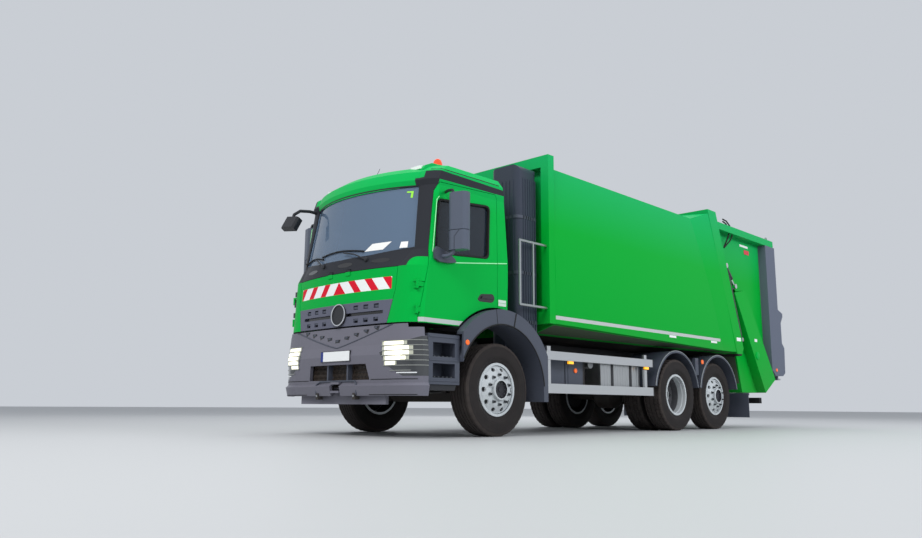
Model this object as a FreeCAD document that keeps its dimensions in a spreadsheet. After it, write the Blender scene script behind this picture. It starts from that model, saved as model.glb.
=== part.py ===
import FreeCAD, Part
import math
import operator
import os
from types import SimpleNamespace

import Sketcher

# A three axle refuse truck with a rear loading compactor body.
# Every length is in millimetres. X runs to the vehicle's left, Z up, and Y rearwards from
# the front of the bumper while the pieces are built; each finished piece is then moved so
# that the origin lies on the ground below the middle of the whole vehicle.

SIZES = {
    # Whole vehicle
    "overall_length": 9600,
    "overrun": 60,
    "running_clearance": 6,
    "seat_clearance": 0.3,
    # Wheels and axles
    "front_overhang": 1440,
    "wheelbase": 4000,
    "bogie_spacing": 1350,
    "tyre_radius": 525,
    "tyre_width": 300,
    "tyre_tread_width": 262,
    "tyre_bulge_radius": 400,
    "tyre_bead_width": 224,
    "tyre_bead_radius": 290,
    "rim_wall": 12,
    "rim_lip_height": 14,
    "rim_lip_thickness": 11,
    "single_track": 2040,
    "twin_spacing": 350,
    "twin_track": 1800,
    "disc_outset": 150,
    "disc_thickness": 22,
    "disc_face_radius": 190,
    "disc_rise": 42,
    "hub_radius": 138,
    "hub_nose": 38,
    "drum_radius": 196,
    "drum_inset": 25,
    "drum_reach": 60,
    "spindle_radius": 36,
    "spindle_reach": 100,
    "twin_drum_length": 180,
    "twin_hub_nose": 105,
    # Steered axles
    "kingpin_track": 1800,
    "kingpin_radius": 22,
    "kingpin_half_height": 95,
    "ear_thickness": 32,
    "ear_radius": 55,
    "beam_end_radius": 50,
    "beam_end_half_height": 58,
    "beam_depth": 90,
    "beam_height": 105,
    "beam_drop": 85,
    "beam_flat": 560,
    "beam_shoulder": 700,
    "yoke_web": 28,
    "steering_arm": 180,
    "arm_width": 50,
    "arm_thickness": 24,
    "rod_pin_radius": 12,
    "rod_eye_radius": 28,
    "rod_eye_height": 32,
    "track_rod_radius": 15,
    # Driven axle
    "axle_tube_radius": 70,
    "axle_bowl_radius": 205,
    "axle_bowl_width": 260,
    "axle_half_length": 630,
    "axle_stub_radius": 50,
    "axle_nose_radius": 85,
    "axle_nose_reach": 330,
    # Frame
    "frame_width": 850,
    "frame_height": 270,
    "frame_bottom": 740,
    "frame_flange": 80,
    "frame_steel": 12,
    "frame_front": 330,
    "frame_rear": 7560,
    "crossmember_depth": 90,
    "subframe_height": 175,
    "subframe_front": 2330,
    "subframe_width": 90,
    # Springs
    "spring_width": 80,
    "spring_thickness": 45,
    "spring_half_length": 720,
    "spring_sag": 80,
    "spring_track": 780,
    "bellows_radius": 110,
    "trailing_arm_front": 560,
    "trailing_arm_rear": 360,
    "bracket_thickness": 60,
    # Engine and driveline
    "engine_width": 620,
    "engine_front": 880,
    "engine_length": 1130,
    "engine_bottom": 570,
    "engine_height": 580,
    "gearbox_width": 420,
    "gearbox_length": 780,
    "gearbox_height": 380,
    "shaft_radius": 55,
    "shaft_height": 600,
    # Side equipment
    "tank_front": 3560,
    "tank_length": 980,
    "tank_inner": 500,
    "tank_outer": 1120,
    "tank_bottom": 520,
    "tank_height": 480,
    "tank_corner": 90,
    "strap_width": 50,
    "strap_thickness": 6,
    "box_front": 2420,
    "box_length": 900,
    "air_tank_radius": 120,
    # Side guards
    "guard_outer": 1225,
    "guard_thickness": 30,
    "guard_rear": 4740,
    "guard_top": 1010,
    "guard_rail_height": 105,
    "guard_low_bottom": 500,
    "guard_low_height": 115,
    "guard_post_width": 70,
    "guard_arm_height": 60,
    "guard_post_inset": 190,
    # Mudguards behind the cab
    "mudguard_radius": 650,
    "mudguard_thickness": 18,
    "mudguard_inner": 620,
    "mudguard_outer": 1235,
    "mudguard_low": 640,
    "mudguard_arm": 40,
    "flap_station": 7840,
    "flap_bottom": 180,
    "flap_top": 590,
    "flap_thickness": 12,
    # Cab
    "cab_half_width": 1150,
    "cab_bow": 400,
    "cab_length": 1624,
    "cab_wall": 50,
    "cab_floor": 40,
    "cab_bottom": 1200,
    "flap_edge_height": 1815,
    "screen_bottom": 2000,
    "screen_top": 2740,
    "roof_edge": 2805,
    "roof_strip": 2912,
    "roof_shoulder": 3000,
    "roof_top": 3095,
    "arch_radius": 728,
    "fender_radius": 908,
    "cab_arch_gap": 25,
    "cab_arch_inner": 640,
    "cab_pivot_station": 112,
    "cab_pivot_height": 900,
    "cab_pivot_radius": 30,
    "glass_thickness": 8,
    "glass_inset": 12,
    "door_front": 214,
    "door_rear": 1440,
    "door_reach": 240,
    "window_corner": 70,
    "door_hinge_station": 200,
    "door_hinge_inset": 36,
    "door_hinge_radius": 9,
    "door_hinge_length": 90,
    "door_hinge_low": 1290,
    "door_hinge_high": 1560,
    "rear_window_half": 420,
    "rear_window_low": 2130,
    "rear_window_high": 2560,
    "grille_top": 1457,
    "grille_gap": 36,
    "vent_width": 74,
    "vent_height": 46,
    "flap_wall": 45,
    "flap_pivot_station": 26,
    "flap_pivot_height": 1825,
    "flap_pivot_radius": 6,
    "flap_pivot_inner": 120,
    "flap_pivot_outer": 200,
    "beacon_radius": 75,
    "beacon_height": 190,
    "beacon_offset": 560,
    "beacon_station": 1020,
    "seat_width": 480,
    "seat_depth": 480,
    "seat_height": 330,
    "seat_back_height": 720,
    "seat_back_depth": 130,
    "seat_offset": 560,
    "seat_station": 860,
    "dash_station": 520,
    "dash_depth": 260,
    "dash_height": 560,
    "wheel_radius": 220,
    "wheel_grip": 18,
    # Mirrors
    "mirror_inner": 1265,
    "mirror_width": 230,
    "mirror_front": 480,
    "mirror_depth": 120,
    "mirror_turn": 18,
    "kerb_mirror_size": 170,
    "mirror_bottom": 1985,
    "mirror_height": 640,
    "mirror_arm": 22,
    # Front bumper
    "bumper_half_width": 1220,
    "bumper_bow": 290,
    "bumper_rear": 300,
    "bumper_wall": 40,
    "bumper_bottom": 440,
    "bumper_step": 545,
    "bumper_recess": 575,
    "bumper_plate": 870,
    "bumper_shelf": 975,
    "bumper_top": 1188,
    "lip_bottom": 350,
    "lip_inset": 110,
    "intake_half_width": 540,
    "intake_bottom": 610,
    "intake_top": 780,
    "tow_width": 150,
    "tow_gap": 70,
    "tow_ear": 24,
    "tow_pin_radius": 20,
    "tow_reach": 130,
    # Front fenders and entry steps
    "fender_outer": 1250,
    "fender_plate": 25,
    "fender_inner": 880,
    "fender_sheet": 20,
    "fender_low": 393,
    "fender_rear_reach": 810,
    "step_outer": 1190,
    "step_inner": 830,
    "step_rear": 770,
    "step_bottom": 560,
    "step_top": 1090,
    "step_well_height": 150,
    "step_well_depth": 200,
    "step_margin": 70,
    # Intake tower and rail
    "tower_outer": 1090,
    "tower_inner": 640,
    "tower_front": 1890,
    "tower_rear": 2285,
    "tower_top": 3320,
    "tower_corner": 90,
    "stack_radius": 85,
    "rail_radius": 16,
    "rail_offset": 1200,
    "rail_front": 1790,
    "rail_top": 2315,
    "rail_bottom": 1535,
    # Body
    "body_front": 2420,
    "body_floor": 1185,
    "body_floor_half": 700,
    "body_edge_front": 1352,
    "body_edge_rear": 1265,
    "body_edge_half": 1235,
    "body_half_width": 1250,
    "body_bulge_height": 2300,
    "body_shoulder_half": 1190,
    "body_shoulder": 3350,
    "body_roof": 3440,
    "body_wall": 50,
    "crease_top_station": 6120,
    "crease_slope_drop": 1935,
    "crease_slope_run": 805,
    "flange_front": 2300,
    "flange_bottom": 1345,
    "flange_top": 3500,
    "flange_inner_half": 1130,
    "flange_sill": 150,
    "post_half_width": 1275,
    "post_inner": 1150,
    "post_top": 3580,
    "post_top_front": 6580,
    "post_top_rear": 6863,
    "post_slope_run": 809,
    "post_slope_drop": 2245,
    "post_low": 1336,
    "post_foot": 1204,
    "post_foot_front": 7430,
    "post_foot_rear": 7578,
    "post_beam": 140,
    "ejector_thickness": 90,
    "ejector_station": 2700,
    "ejector_travel": 3300,
    # Tailgate
    "hinge_station": 6760,
    "hinge_drop": 80,
    "hinge_radius": 32,
    "hinge_arm_inner": 1050,
    "hinge_arm_width": 50,
    "gate_gap": 9,
    "gate_top": 3440,
    "gate_top_rear": 9235,
    "gate_side": 1110,
    "gate_wall": 20,
    "gate_rail_half": 1250,
    "gate_rail_height": 120,
    "gate_lip_height": 1204,
    "trough_front": 7887,
    "trough_bottom": 603,
    "trough_rear": 8487,
    "trough_bend": 8936,
    "trough_bend_height": 846,
    "sill_station": 9250,
    "sill_height": 1350,
    "trough_wall": 24,
    "cover_bottom": 2500,
    "guide_top_front": 7444,
    "guide_top_height": 2279,
    "guide_top_rear": 7866,
    "guide_top_rise": 79,
    "guide_outer": 1270,
    "guide_plate": 20,
    "column_front": 8870,
    "column_rear": 9278,
    "column_outer": 1255,
    "column_shelf": 2150,
    "column_shelf_rear": 9472,
    "column_bottom": 921,
    "underrun_station": 8560,
    "underrun_height": 420,
    "underrun_size": 100,
    # Compactor
    "slide_station": 7655,
    "slide_height": 2318,
    "slide_run": 1056,
    "slide_drop": 1590,
    "carriage_half_width": 1080,
    "carriage_thickness": 90,
    "carriage_above": 320,
    "carriage_below": 400,
    "carriage_travel": 560,
    "blade_length": 700,
    "blade_pivot_radius": 45,
    "blade_thickness": 60,
    "lug_station": 7705,
    "lug_height": 2423,
    "lug_radius": 48,
    "packer_top_station": 7150,
    "packer_top_height": 2960,
    "packer_layer": 1150,
    "packer_radius": 34,
    "packer_rod_radius": 20,
    "packer_barrel_length": 610,
    # Tailgate lift
    "lift_top_station": 7229,
    "lift_top_height": 2720,
    "lift_foot_station": 7672,
    "lift_foot_height": 1490,
    "lift_layer": 1228,
    "lift_radius": 34,
    "lift_rod_radius": 20,
    "lift_barrel_length": 1130,
    "cylinder_eye": 42,
    "cylinder_pin": 18,
    "cylinder_half_width": 34,
    # Bin lifter and riding steps
    "lifter_station": 9320,
    "lifter_height": 1230,
    "lifter_shaft_radius": 40,
    "lifter_arm_offset": 500,
    "lifter_arm_width": 60,
    "lifter_arm_depth": 90,
    "lifter_hang": 330,
    "lifter_out": 110,
    "comb_half_width": 650,
    "comb_height": 120,
    "comb_thickness": 40,
    "comb_tooth": 50,
    "ride_inner": 700,
    "ride_outer": 1095,
    "ride_front": 9310,
    "ride_depth": 290,
    "ride_height": 870,
    "ride_thickness": 28,
    "ride_hinge_radius": 14,
    "ride_bracket": 64,
}

COLUMN_LETTER = "A"

document = FreeCAD.newDocument("RefuseTruck")
sheet = document.addObject("Spreadsheet::Sheet", "Sizes")
for row, (alias, length) in enumerate(SIZES.items(), start=1):
    sheet.set(f"{COLUMN_LETTER}{row}", str(length))
    sheet.setAlias(f"{COLUMN_LETTER}{row}", alias)
document.recompute()

Vector = FreeCAD.Vector
SIGNS = {"+": operator.add, "-": operator.sub, "*": operator.mul, "/": operator.truediv}


class Size:
    """A length with its value in millimetres and the sheet expression that gives it."""

    def __init__(self, value, text):
        self.value = float(value)
        self.text = text

    def joined(self, sign, other, swapped=False):
        other = as_size(other)
        first, second = (other, self) if swapped else (self, other)
        return Size(SIGNS[sign](first.value, second.value), f"({first.text} {sign} {second.text})")

    def __add__(self, other):
        return self.joined("+", other)

    def __radd__(self, other):
        return self.joined("+", other, True)

    def __sub__(self, other):
        return self.joined("-", other)

    def __rsub__(self, other):
        return self.joined("-", other, True)

    def __mul__(self, other):
        return self.joined("*", other)

    def __rmul__(self, other):
        return self.joined("*", other, True)

    def __truediv__(self, other):
        return self.joined("/", other)

    def __neg__(self):
        return self.joined("-", 0, True)


def as_size(number):
    """A plain number as a Size, so that sums can mix the two."""
    if isinstance(number, Size):
        return number
    return Size(number, f"({float(number)!r})")


S = SimpleNamespace(**{alias: Size(sheet.get(alias), f"Sizes.{alias}") for alias in SIZES})


def mm(size):
    """The plain value of a Size, for shapes that are not parametric features."""
    return as_size(size).value


def point(x, y, z):
    return Vector(mm(x), mm(y), mm(z))


def bind(item, path, size):
    item.setExpression(path, as_size(size).text)


def place(item, x, y, z):
    for axis, size in (("x", x), ("y", y), ("z", z)):
        bind(item, f".Placement.Base.{axis}", size)


# Parametric building blocks

def block(name, x, y, z):
    """A box between two values on each axis."""
    item = document.addObject("Part::Box", name)
    for side, span in (("Length", x), ("Width", y), ("Height", z)):
        bind(item, side, as_size(span[1]) - span[0])
    place(item, x[0], y[0], z[0])
    return item


AXIS_TURNS = {
    "x": FreeCAD.Rotation(Vector(0, 1, 0), 90),
    "y": FreeCAD.Rotation(Vector(1, 0, 0), -90),
    "z": FreeCAD.Rotation(),
}


def rod(name, axis, radius, along, across):
    """A round bar: its span along one axis, and its centre on the other two."""
    item = document.addObject("Part::Cylinder", name)
    item.Placement = FreeCAD.Placement(Vector(), AXIS_TURNS[axis])
    bind(item, "Radius", radius)
    bind(item, "Height", as_size(along[1]) - along[0])
    corners = {
        "x": (along[0], across[0], across[1]),
        "y": (across[0], along[0], across[1]),
        "z": (across[0], across[1], along[0]),
    }
    place(item, *corners[axis])
    return item


PLANE_OF_AXIS = {"x": "YZ_Plane", "y": "XZ_Plane", "z": "XY_Plane"}


def sketched(body, name, plane, outline):
    """A closed sketch of straight lines whose corners are bound to the sheet."""
    sketch = body.newObject("Sketcher::SketchObject", name)
    base = next(item for item in body.Origin.OriginFeatures if item.Role == plane)
    sketch.AttachmentSupport = [(base, "")]
    sketch.MapMode = "FlatFace"
    corners = [Vector(mm(first), mm(second), 0) for first, second in outline]
    count = len(corners)
    for index in range(count):
        line = Part.LineSegment(corners[index], corners[(index + 1) % count])
        sketch.addGeometry(line, False)
    for index in range(count):
        sketch.addConstraint(Sketcher.Constraint("Coincident", index, 2, (index + 1) % count, 1))
    for index, (first, second) in enumerate(outline):
        for kind, size in (("DistanceX", first), ("DistanceY", second)):
            driver = Sketcher.Constraint(kind, -1, 1, index, 1, mm(size))
            number = sketch.addConstraint(driver)
            bind(sketch, f"Constraints[{number}]", size)
    return sketch


def prism(name, axis, outline, along):
    """A padded sketch: `outline` lies across the axis and `along` is the span on it."""
    body = document.addObject("PartDesign::Body", name)
    sketch = sketched(body, f"{name}_sketch", PLANE_OF_AXIS[axis], outline)
    pad = body.newObject("PartDesign::Pad", f"{name}_pad")
    pad.Profile = sketch
    bind(pad, "Length", as_size(along[1]) - along[0])
    pad.Reversed = axis == "y"
    bind(body, f".Placement.Base.{axis}", along[0])
    return body


def turned(name, outline):
    """A body turned about the X axis from an outline of (x, radius) corners."""
    body = document.addObject("PartDesign::Body", name)
    sketch = sketched(body, f"{name}_sketch", "XZ_Plane", outline)
    lathe = body.newObject("PartDesign::Revolution", f"{name}_turn")
    lathe.Profile = sketch
    lathe.ReferenceAxis = (sketch, ["H_Axis"])
    lathe.Angle = 360
    return body


def fused(name, items):
    if len(items) == 1:
        return items[0]
    item = document.addObject("Part::MultiFuse", name)
    item.Shapes = items
    return item


def less(name, base, tools):
    item = document.addObject("Part::Cut", name)
    item.Base = base
    item.Tool = fused(f"{name}_tools", tools)
    return item


def other_side(item):
    """The same piece on the vehicle's right."""
    mirror = document.addObject("Part::Mirroring", f"{item.Name}_right")
    mirror.Source = item
    mirror.Normal = Vector(1, 0, 0)
    return mirror


def both_sides(items):
    return items + [other_side(item) for item in items]


def feature(name, shape):
    """A shape made with the geometry kernel, where sketches and primitives do not suit."""
    item = document.addObject("Part::Feature", name)
    item.Shape = shape
    return item


NODES = {}


def node(label, items):
    """Gathers the solids of one piece and moves them to the vehicle's own origin."""
    item = document.addObject("Part::Compound", f"node_{label}")
    item.Links = items
    item.Label = label
    bind(item, ".Placement.Base.y", -S.overall_length / 2)
    NODES[label] = item
    return item


def fleshed(outline, x_span):
    """A solid from a side view outline of (y, z) corners, between two X values."""
    corners = [point(x_span[0], y, z) for y, z in outline]
    face = Part.Face(Part.makePolygon(corners + corners[:1]))
    return face.extrude(Vector(mm(x_span[1]) - mm(x_span[0]), 0, 0))


def rounded(shape, radius, chosen):
    """Rounds the edges of a shape for which `chosen` says yes."""
    edges = [edge for edge in shape.Edges if chosen(edge)]
    return shape.makeFillet(radius, edges)


# Wheels

AXLE_HEIGHT = S.tyre_radius
FRONT_AXLE = S.front_overhang
DRIVE_AXLE = S.front_overhang + S.wheelbase
TAG_AXLE = DRIVE_AXLE + S.bogie_spacing
RIM_SEAT = S.tyre_bead_radius - S.seat_clearance
RIM_BORE = RIM_SEAT - S.rim_wall
RIM_LIP = RIM_SEAT + S.rim_lip_height
RIM_HALF = S.tyre_bead_width / 2 + S.seat_clearance
DISC_ROOT_DROP = S.rim_wall


def tyre_outline(offset):
    """Half of the section is mirrored, so the tyre stays symmetric about its middle."""
    half = [
        (S.tyre_bead_width / 2, S.tyre_bead_radius),
        (S.tyre_bead_width / 2, RIM_LIP + S.seat_clearance),
        (S.tyre_width / 2, S.tyre_bulge_radius),
        (S.tyre_tread_width / 2, S.tyre_radius),
    ]
    left = [(offset + x, radius) for x, radius in half]
    right = [(offset - x, radius) for x, radius in reversed(half)]
    return left + right


def barrel_lips(offset, from_side, to_side):
    """The tyre side of a rim barrel, walked along X between its two lips."""
    sign = 1 if to_side > from_side else -1
    lip = RIM_HALF + S.rim_lip_thickness
    return [
        (offset - sign * lip, RIM_LIP),
        (offset - sign * RIM_HALF, RIM_LIP),
        (offset - sign * RIM_HALF, RIM_SEAT),
        (offset + sign * RIM_HALF, RIM_SEAT),
        (offset + sign * RIM_HALF, RIM_LIP),
        (offset + sign * lip, RIM_LIP),
    ]


def single_rim():
    lip = RIM_HALF + S.rim_lip_thickness
    disc_inner = S.disc_outset - S.disc_thickness
    root = S.disc_outset - S.disc_rise
    nose = S.disc_outset + S.hub_nose
    bore = S.spindle_radius + S.seat_clearance
    outline = [
        (-S.drum_inset, bore),
        (-S.drum_inset, S.drum_radius),
        (S.drum_reach, S.drum_radius),
        (S.drum_reach, S.hub_radius),
        (disc_inner, S.hub_radius),
        (disc_inner, S.disc_face_radius),
        (root - S.disc_thickness, RIM_BORE - DISC_ROOT_DROP),
        (root - S.disc_thickness, RIM_BORE),
        (-lip, RIM_BORE),
    ]
    outline += barrel_lips(as_size(0), 0, 1)
    outline += [
        (lip, RIM_BORE),
        (root, RIM_BORE - DISC_ROOT_DROP),
        (S.disc_outset, S.disc_face_radius),
        (S.disc_outset, S.hub_radius),
        (nose, S.hub_radius * hub_nose_share),
        (nose, as_size(0)),
        (S.spindle_reach, as_size(0)),
        (S.spindle_reach, bore),
    ]
    return turned("single_rim", outline)


def twin_rim():
    lip = RIM_HALF + S.rim_lip_thickness
    half = S.twin_spacing / 2
    inner_end = half - lip
    bore = S.axle_stub_radius + S.seat_clearance
    drum_end = inner_end + S.disc_rise / 2
    outline = [
        (-S.twin_drum_length - drum_end, bore),
        (-S.twin_drum_length - drum_end, S.drum_radius),
        (-drum_end, S.drum_radius),
        (-drum_end, S.hub_radius),
        (-S.disc_thickness / 2, S.hub_radius),
        (-S.disc_thickness / 2, S.disc_face_radius),
        (-drum_end, RIM_BORE - DISC_ROOT_DROP),
        (-drum_end, RIM_BORE),
        (-half - lip, RIM_BORE),
    ]
    outline += barrel_lips(-half, 0, 1)
    outline += [
        (-inner_end, RIM_BORE - DISC_ROOT_DROP),
        (as_size(0), S.disc_face_radius + S.disc_thickness),
        (inner_end, RIM_BORE - DISC_ROOT_DROP),
    ]
    outline += barrel_lips(half, 0, 1)
    outline += [
        (half + lip, RIM_BORE),
        (drum_end, RIM_BORE),
        (drum_end, RIM_BORE - DISC_ROOT_DROP),
        (S.disc_thickness / 2, S.disc_face_radius),
        (S.disc_thickness / 2, S.hub_radius),
        (S.twin_hub_nose, S.hub_radius * hub_nose_share),
        (S.twin_hub_nose, as_size(0)),
        (inner_end, as_size(0)),
        (inner_end, bore),
    ]
    return turned("twin_rim", outline)


hub_nose_share = 0.86


def wheels():
    half = S.twin_spacing / 2
    single_tyre = [turned("single_tyre", tyre_outline(as_size(0)))]
    twin_tyres = [turned("twin_tyre_inner", tyre_outline(-half)), turned("twin_tyre_outer", tyre_outline(half))]
    single, twin = [single_rim()], [twin_rim()]
    layout = {
        "front": (S.single_track / 2, FRONT_AXLE, single_tyre, single),
        "drive": (S.twin_track / 2, DRIVE_AXLE, twin_tyres, twin),
        "tag": (S.single_track / 2, TAG_AXLE, single_tyre, single),
    }
    half_turn = FreeCAD.Rotation(Vector(0, 0, 1), 180)
    for axle, (reach, station, tyre, rim) in layout.items():
        for side, sign in (("left", 1), ("right", -1)):
            for kind, items in (("tyre", tyre), ("wheel", rim)):
                item = node(f"{kind}_{axle}_{side}", items)
                if sign < 0:
                    item.Placement = FreeCAD.Placement(Vector(), half_turn)
                place(item, sign * reach, station - S.overall_length / 2, AXLE_HEIGHT)


# Axles and steering

KINGPIN = S.kingpin_track / 2
ARM_TOP = AXLE_HEIGHT - S.kingpin_half_height + S.arm_thickness
ROD_EYE_TOP = AXLE_HEIGHT - S.kingpin_half_height - S.rod_pin_radius / 4
ROD_MIDDLE = ROD_EYE_TOP - S.rod_eye_height / 2


def steered_beam(name, station):
    low = AXLE_HEIGHT - S.beam_height / 2
    high = AXLE_HEIGHT + S.beam_height / 2
    outline = [
        (-KINGPIN, low), (-S.beam_shoulder, low), (-S.beam_flat, low - S.beam_drop),
        (S.beam_flat, low - S.beam_drop), (S.beam_shoulder, low), (KINGPIN, low),
        (KINGPIN, high), (S.beam_shoulder, high), (S.beam_flat, high - S.beam_drop),
        (-S.beam_flat, high - S.beam_drop), (-S.beam_shoulder, high), (-KINGPIN, high),
    ]
    depth = (station - S.beam_depth / 2, station + S.beam_depth / 2)
    beam = prism(f"{name}_bar", "y", outline, depth)
    span = (AXLE_HEIGHT - S.beam_end_half_height, AXLE_HEIGHT + S.beam_end_half_height)
    bosses = [rod(f"{name}_boss_{i}", "z", S.beam_end_radius, span, (side * KINGPIN, station))
              for i, side in enumerate((1, -1))]
    long_span = (span[0] - S.overrun, span[1] + S.overrun)
    bore = S.kingpin_radius + S.seat_clearance
    bores = [rod(f"{name}_bore_{i}", "z", bore, long_span, (side * KINGPIN, station))
             for i, side in enumerate((1, -1))]
    return less(name, fused(f"{name}_whole", [beam] + bosses), bores)


def drive_axle():
    inner = S.axle_bowl_width / 2
    outline = [
        (-S.axle_half_length - S.twin_drum_length, as_size(0)),
        (-S.axle_half_length - S.twin_drum_length, S.axle_stub_radius),
        (-S.axle_half_length, S.axle_stub_radius),
        (-S.axle_half_length, S.axle_tube_radius),
        (-inner * bowl_flare_share, S.axle_tube_radius),
        (-inner, S.axle_bowl_radius),
        (inner, S.axle_bowl_radius),
        (inner * bowl_flare_share, S.axle_tube_radius),
        (S.axle_half_length, S.axle_tube_radius),
        (S.axle_half_length, S.axle_stub_radius),
        (S.axle_half_length + S.twin_drum_length, S.axle_stub_radius),
        (S.axle_half_length + S.twin_drum_length, as_size(0)),
    ]
    casing = turned("drive_casing", outline)
    place(casing, 0, DRIVE_AXLE, AXLE_HEIGHT)
    nose_span = (DRIVE_AXLE - S.axle_nose_reach, DRIVE_AXLE)
    nose = rod("drive_nose", "y", S.axle_nose_radius, nose_span, (0, S.shaft_height))
    return fused("drive_axle", [casing, nose])


bowl_flare_share = 2.2


def knuckle(name, station):
    """The left knuckle: ears, kingpin, web, spindle, steering arm and its pin."""
    low = AXLE_HEIGHT - S.kingpin_half_height
    high = AXLE_HEIGHT + S.kingpin_half_height
    web_start = S.ear_radius + S.seat_clearance
    web = (KINGPIN + web_start, KINGPIN + web_start + S.yoke_web)
    pin = rod(f"{name}_pin", "z", S.kingpin_radius, (low, high), (KINGPIN, station))
    pieces = [pin]
    for level, span in (("low", (low, low + S.ear_thickness)), ("high", (high - S.ear_thickness, high))):
        pieces.append(rod(f"{name}_{level}_ear", "z", S.ear_radius, span, (KINGPIN, station)))
        bridge_width = (station - S.ear_radius, station + S.ear_radius)
        pieces.append(block(f"{name}_{level}_bridge", (KINGPIN, web[1]), bridge_width, span))
    pieces.append(block(f"{name}_web", web, (station - S.ear_radius, station + S.ear_radius), (low, high)))
    spindle_end = S.single_track / 2 + S.spindle_reach - S.running_clearance / 2
    pieces.append(rod(f"{name}_spindle", "x", S.spindle_radius, (web[0], spindle_end), (station, AXLE_HEIGHT)))
    arm_side = (KINGPIN - S.arm_width / 2, KINGPIN + S.arm_width / 2)
    arm_end = station + S.steering_arm
    pieces.append(block(f"{name}_arm", arm_side, (station, arm_end), (low, low + S.arm_thickness)))
    pieces.append(rod(f"{name}_arm_end", "z", S.arm_width / 2, (low, low + S.arm_thickness), (KINGPIN, arm_end)))
    pin_span = (ROD_EYE_TOP - S.rod_eye_height, low)
    pieces.append(rod(f"{name}_rod_pin", "z", S.rod_pin_radius, pin_span, (KINGPIN, arm_end)))
    return fused(name, pieces)


def track_rod(name, station):
    """The right eye is open wide around its pin, where the steering linkage is opened."""
    arm_end = station + S.steering_arm
    span = (ROD_EYE_TOP - S.rod_eye_height, ROD_EYE_TOP)
    bar = rod(f"{name}_bar", "x", S.track_rod_radius, (-KINGPIN, KINGPIN), (arm_end, ROD_MIDDLE))
    eyes = [rod(f"{name}_eye_{i}", "z", S.rod_eye_radius, span, (side * KINGPIN, arm_end))
            for i, side in enumerate((1, -1))]
    long_span = (span[0] - S.overrun, span[1] + S.overrun)
    bores = [rod(f"{name}_bore_{i}", "z", S.rod_pin_radius + gap, long_span, (side * KINGPIN, arm_end))
             for i, (side, gap) in enumerate(((1, S.seat_clearance), (-1, S.running_clearance / 2)))]
    return less(name, fused(f"{name}_whole", [bar] + eyes), bores)


def steering():
    for axle, station in (("front", FRONT_AXLE), ("tag", TAG_AXLE)):
        left = knuckle(f"{axle}_knuckle", station)
        node(f"knuckle_{axle}_left", [left])
        node(f"knuckle_{axle}_right", [other_side(left)])
        node(f"track_rod_{axle}", [track_rod(f"{axle}_track_rod", station)])


# Frame, springs and driveline

FRAME_TOP = S.frame_bottom + S.frame_height
FRAME_HALF = S.frame_width / 2
CROSSMEMBER_STATIONS = [
    S.frame_front + S.crossmember_depth,
    FRONT_AXLE + S.wheelbase * 0.34,
    FRONT_AXLE + S.wheelbase * 0.62,
    DRIVE_AXLE - S.trailing_arm_front,
    DRIVE_AXLE + S.bogie_spacing * 0.5,
    S.frame_rear - S.crossmember_depth * 2,
]


def frame_rail():
    inner = FRAME_HALF - S.frame_flange
    web = FRAME_HALF - S.frame_steel
    outline = [
        (inner, S.frame_bottom), (FRAME_HALF, S.frame_bottom), (FRAME_HALF, FRAME_TOP),
        (inner, FRAME_TOP), (inner, FRAME_TOP - S.frame_steel), (web, FRAME_TOP - S.frame_steel),
        (web, S.frame_bottom + S.frame_steel), (inner, S.frame_bottom + S.frame_steel),
    ]
    return prism("frame_rail", "y", outline, (S.frame_front, S.frame_rear))


def front_crossbar():
    """The bar that carries the bumper, the cab pivots and the tow jaw."""
    span = (-S.intake_half_width, S.intake_half_width)
    depth = (S.bumper_wall + S.tow_reach + S.seat_clearance, S.frame_front + S.overrun)
    return block("front_crossbar", span, depth, (S.bumper_bottom + S.overrun, S.frame_bottom))


def chassis_frame():
    rails = both_sides([frame_rail()])
    web = FRAME_HALF - S.frame_steel
    high = (FRAME_TOP - S.frame_steel - S.crossmember_depth * 1.5, FRAME_TOP - S.frame_steel)
    members = [block(f"crossmember_{i}", (-web, web), (station, station + S.crossmember_depth), high)
               for i, station in enumerate(CROSSMEMBER_STATIONS)]
    inner = FRAME_HALF - S.frame_flange
    horn = block("frame_horn", (inner, FRAME_HALF), (S.cab_pivot_station + S.bumper_wall + S.cab_pivot_radius, S.frame_front),
                 (S.frame_bottom - S.overrun, S.cab_pivot_height + S.cab_pivot_radius))
    stub = rod("cab_pivot_pin", "x", S.cab_pivot_radius / 2, (inner - S.overrun, FRAME_HALF),
               (S.cab_pivot_station, S.cab_pivot_height))
    ear = block("cab_pivot_ear", (inner, FRAME_HALF),
                (S.cab_pivot_station - S.cab_pivot_radius, S.cab_pivot_station + S.bumper_wall + S.cab_pivot_radius * 2),
                (S.cab_pivot_height - S.cab_pivot_radius, S.cab_pivot_height + S.cab_pivot_radius))
    pieces = rails + members + both_sides([horn, stub, ear]) + [front_crossbar()]
    return fused("chassis_frame", pieces)


def leaf_outline(station, half, sag, high):
    """A bowed strip, written as shares of its half length and sag."""
    upper = [(station + half * along, high - sag * down) for along, down in leaf_shares]
    lower = [(y, z - S.spring_thickness) for y, z in reversed(upper)]
    return upper + lower


leaf_shares = [(-1, 0), (-0.6, 0.6), (-0.15, 0.97), (0.15, 0.97), (0.6, 0.6), (1, 0)]


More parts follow.
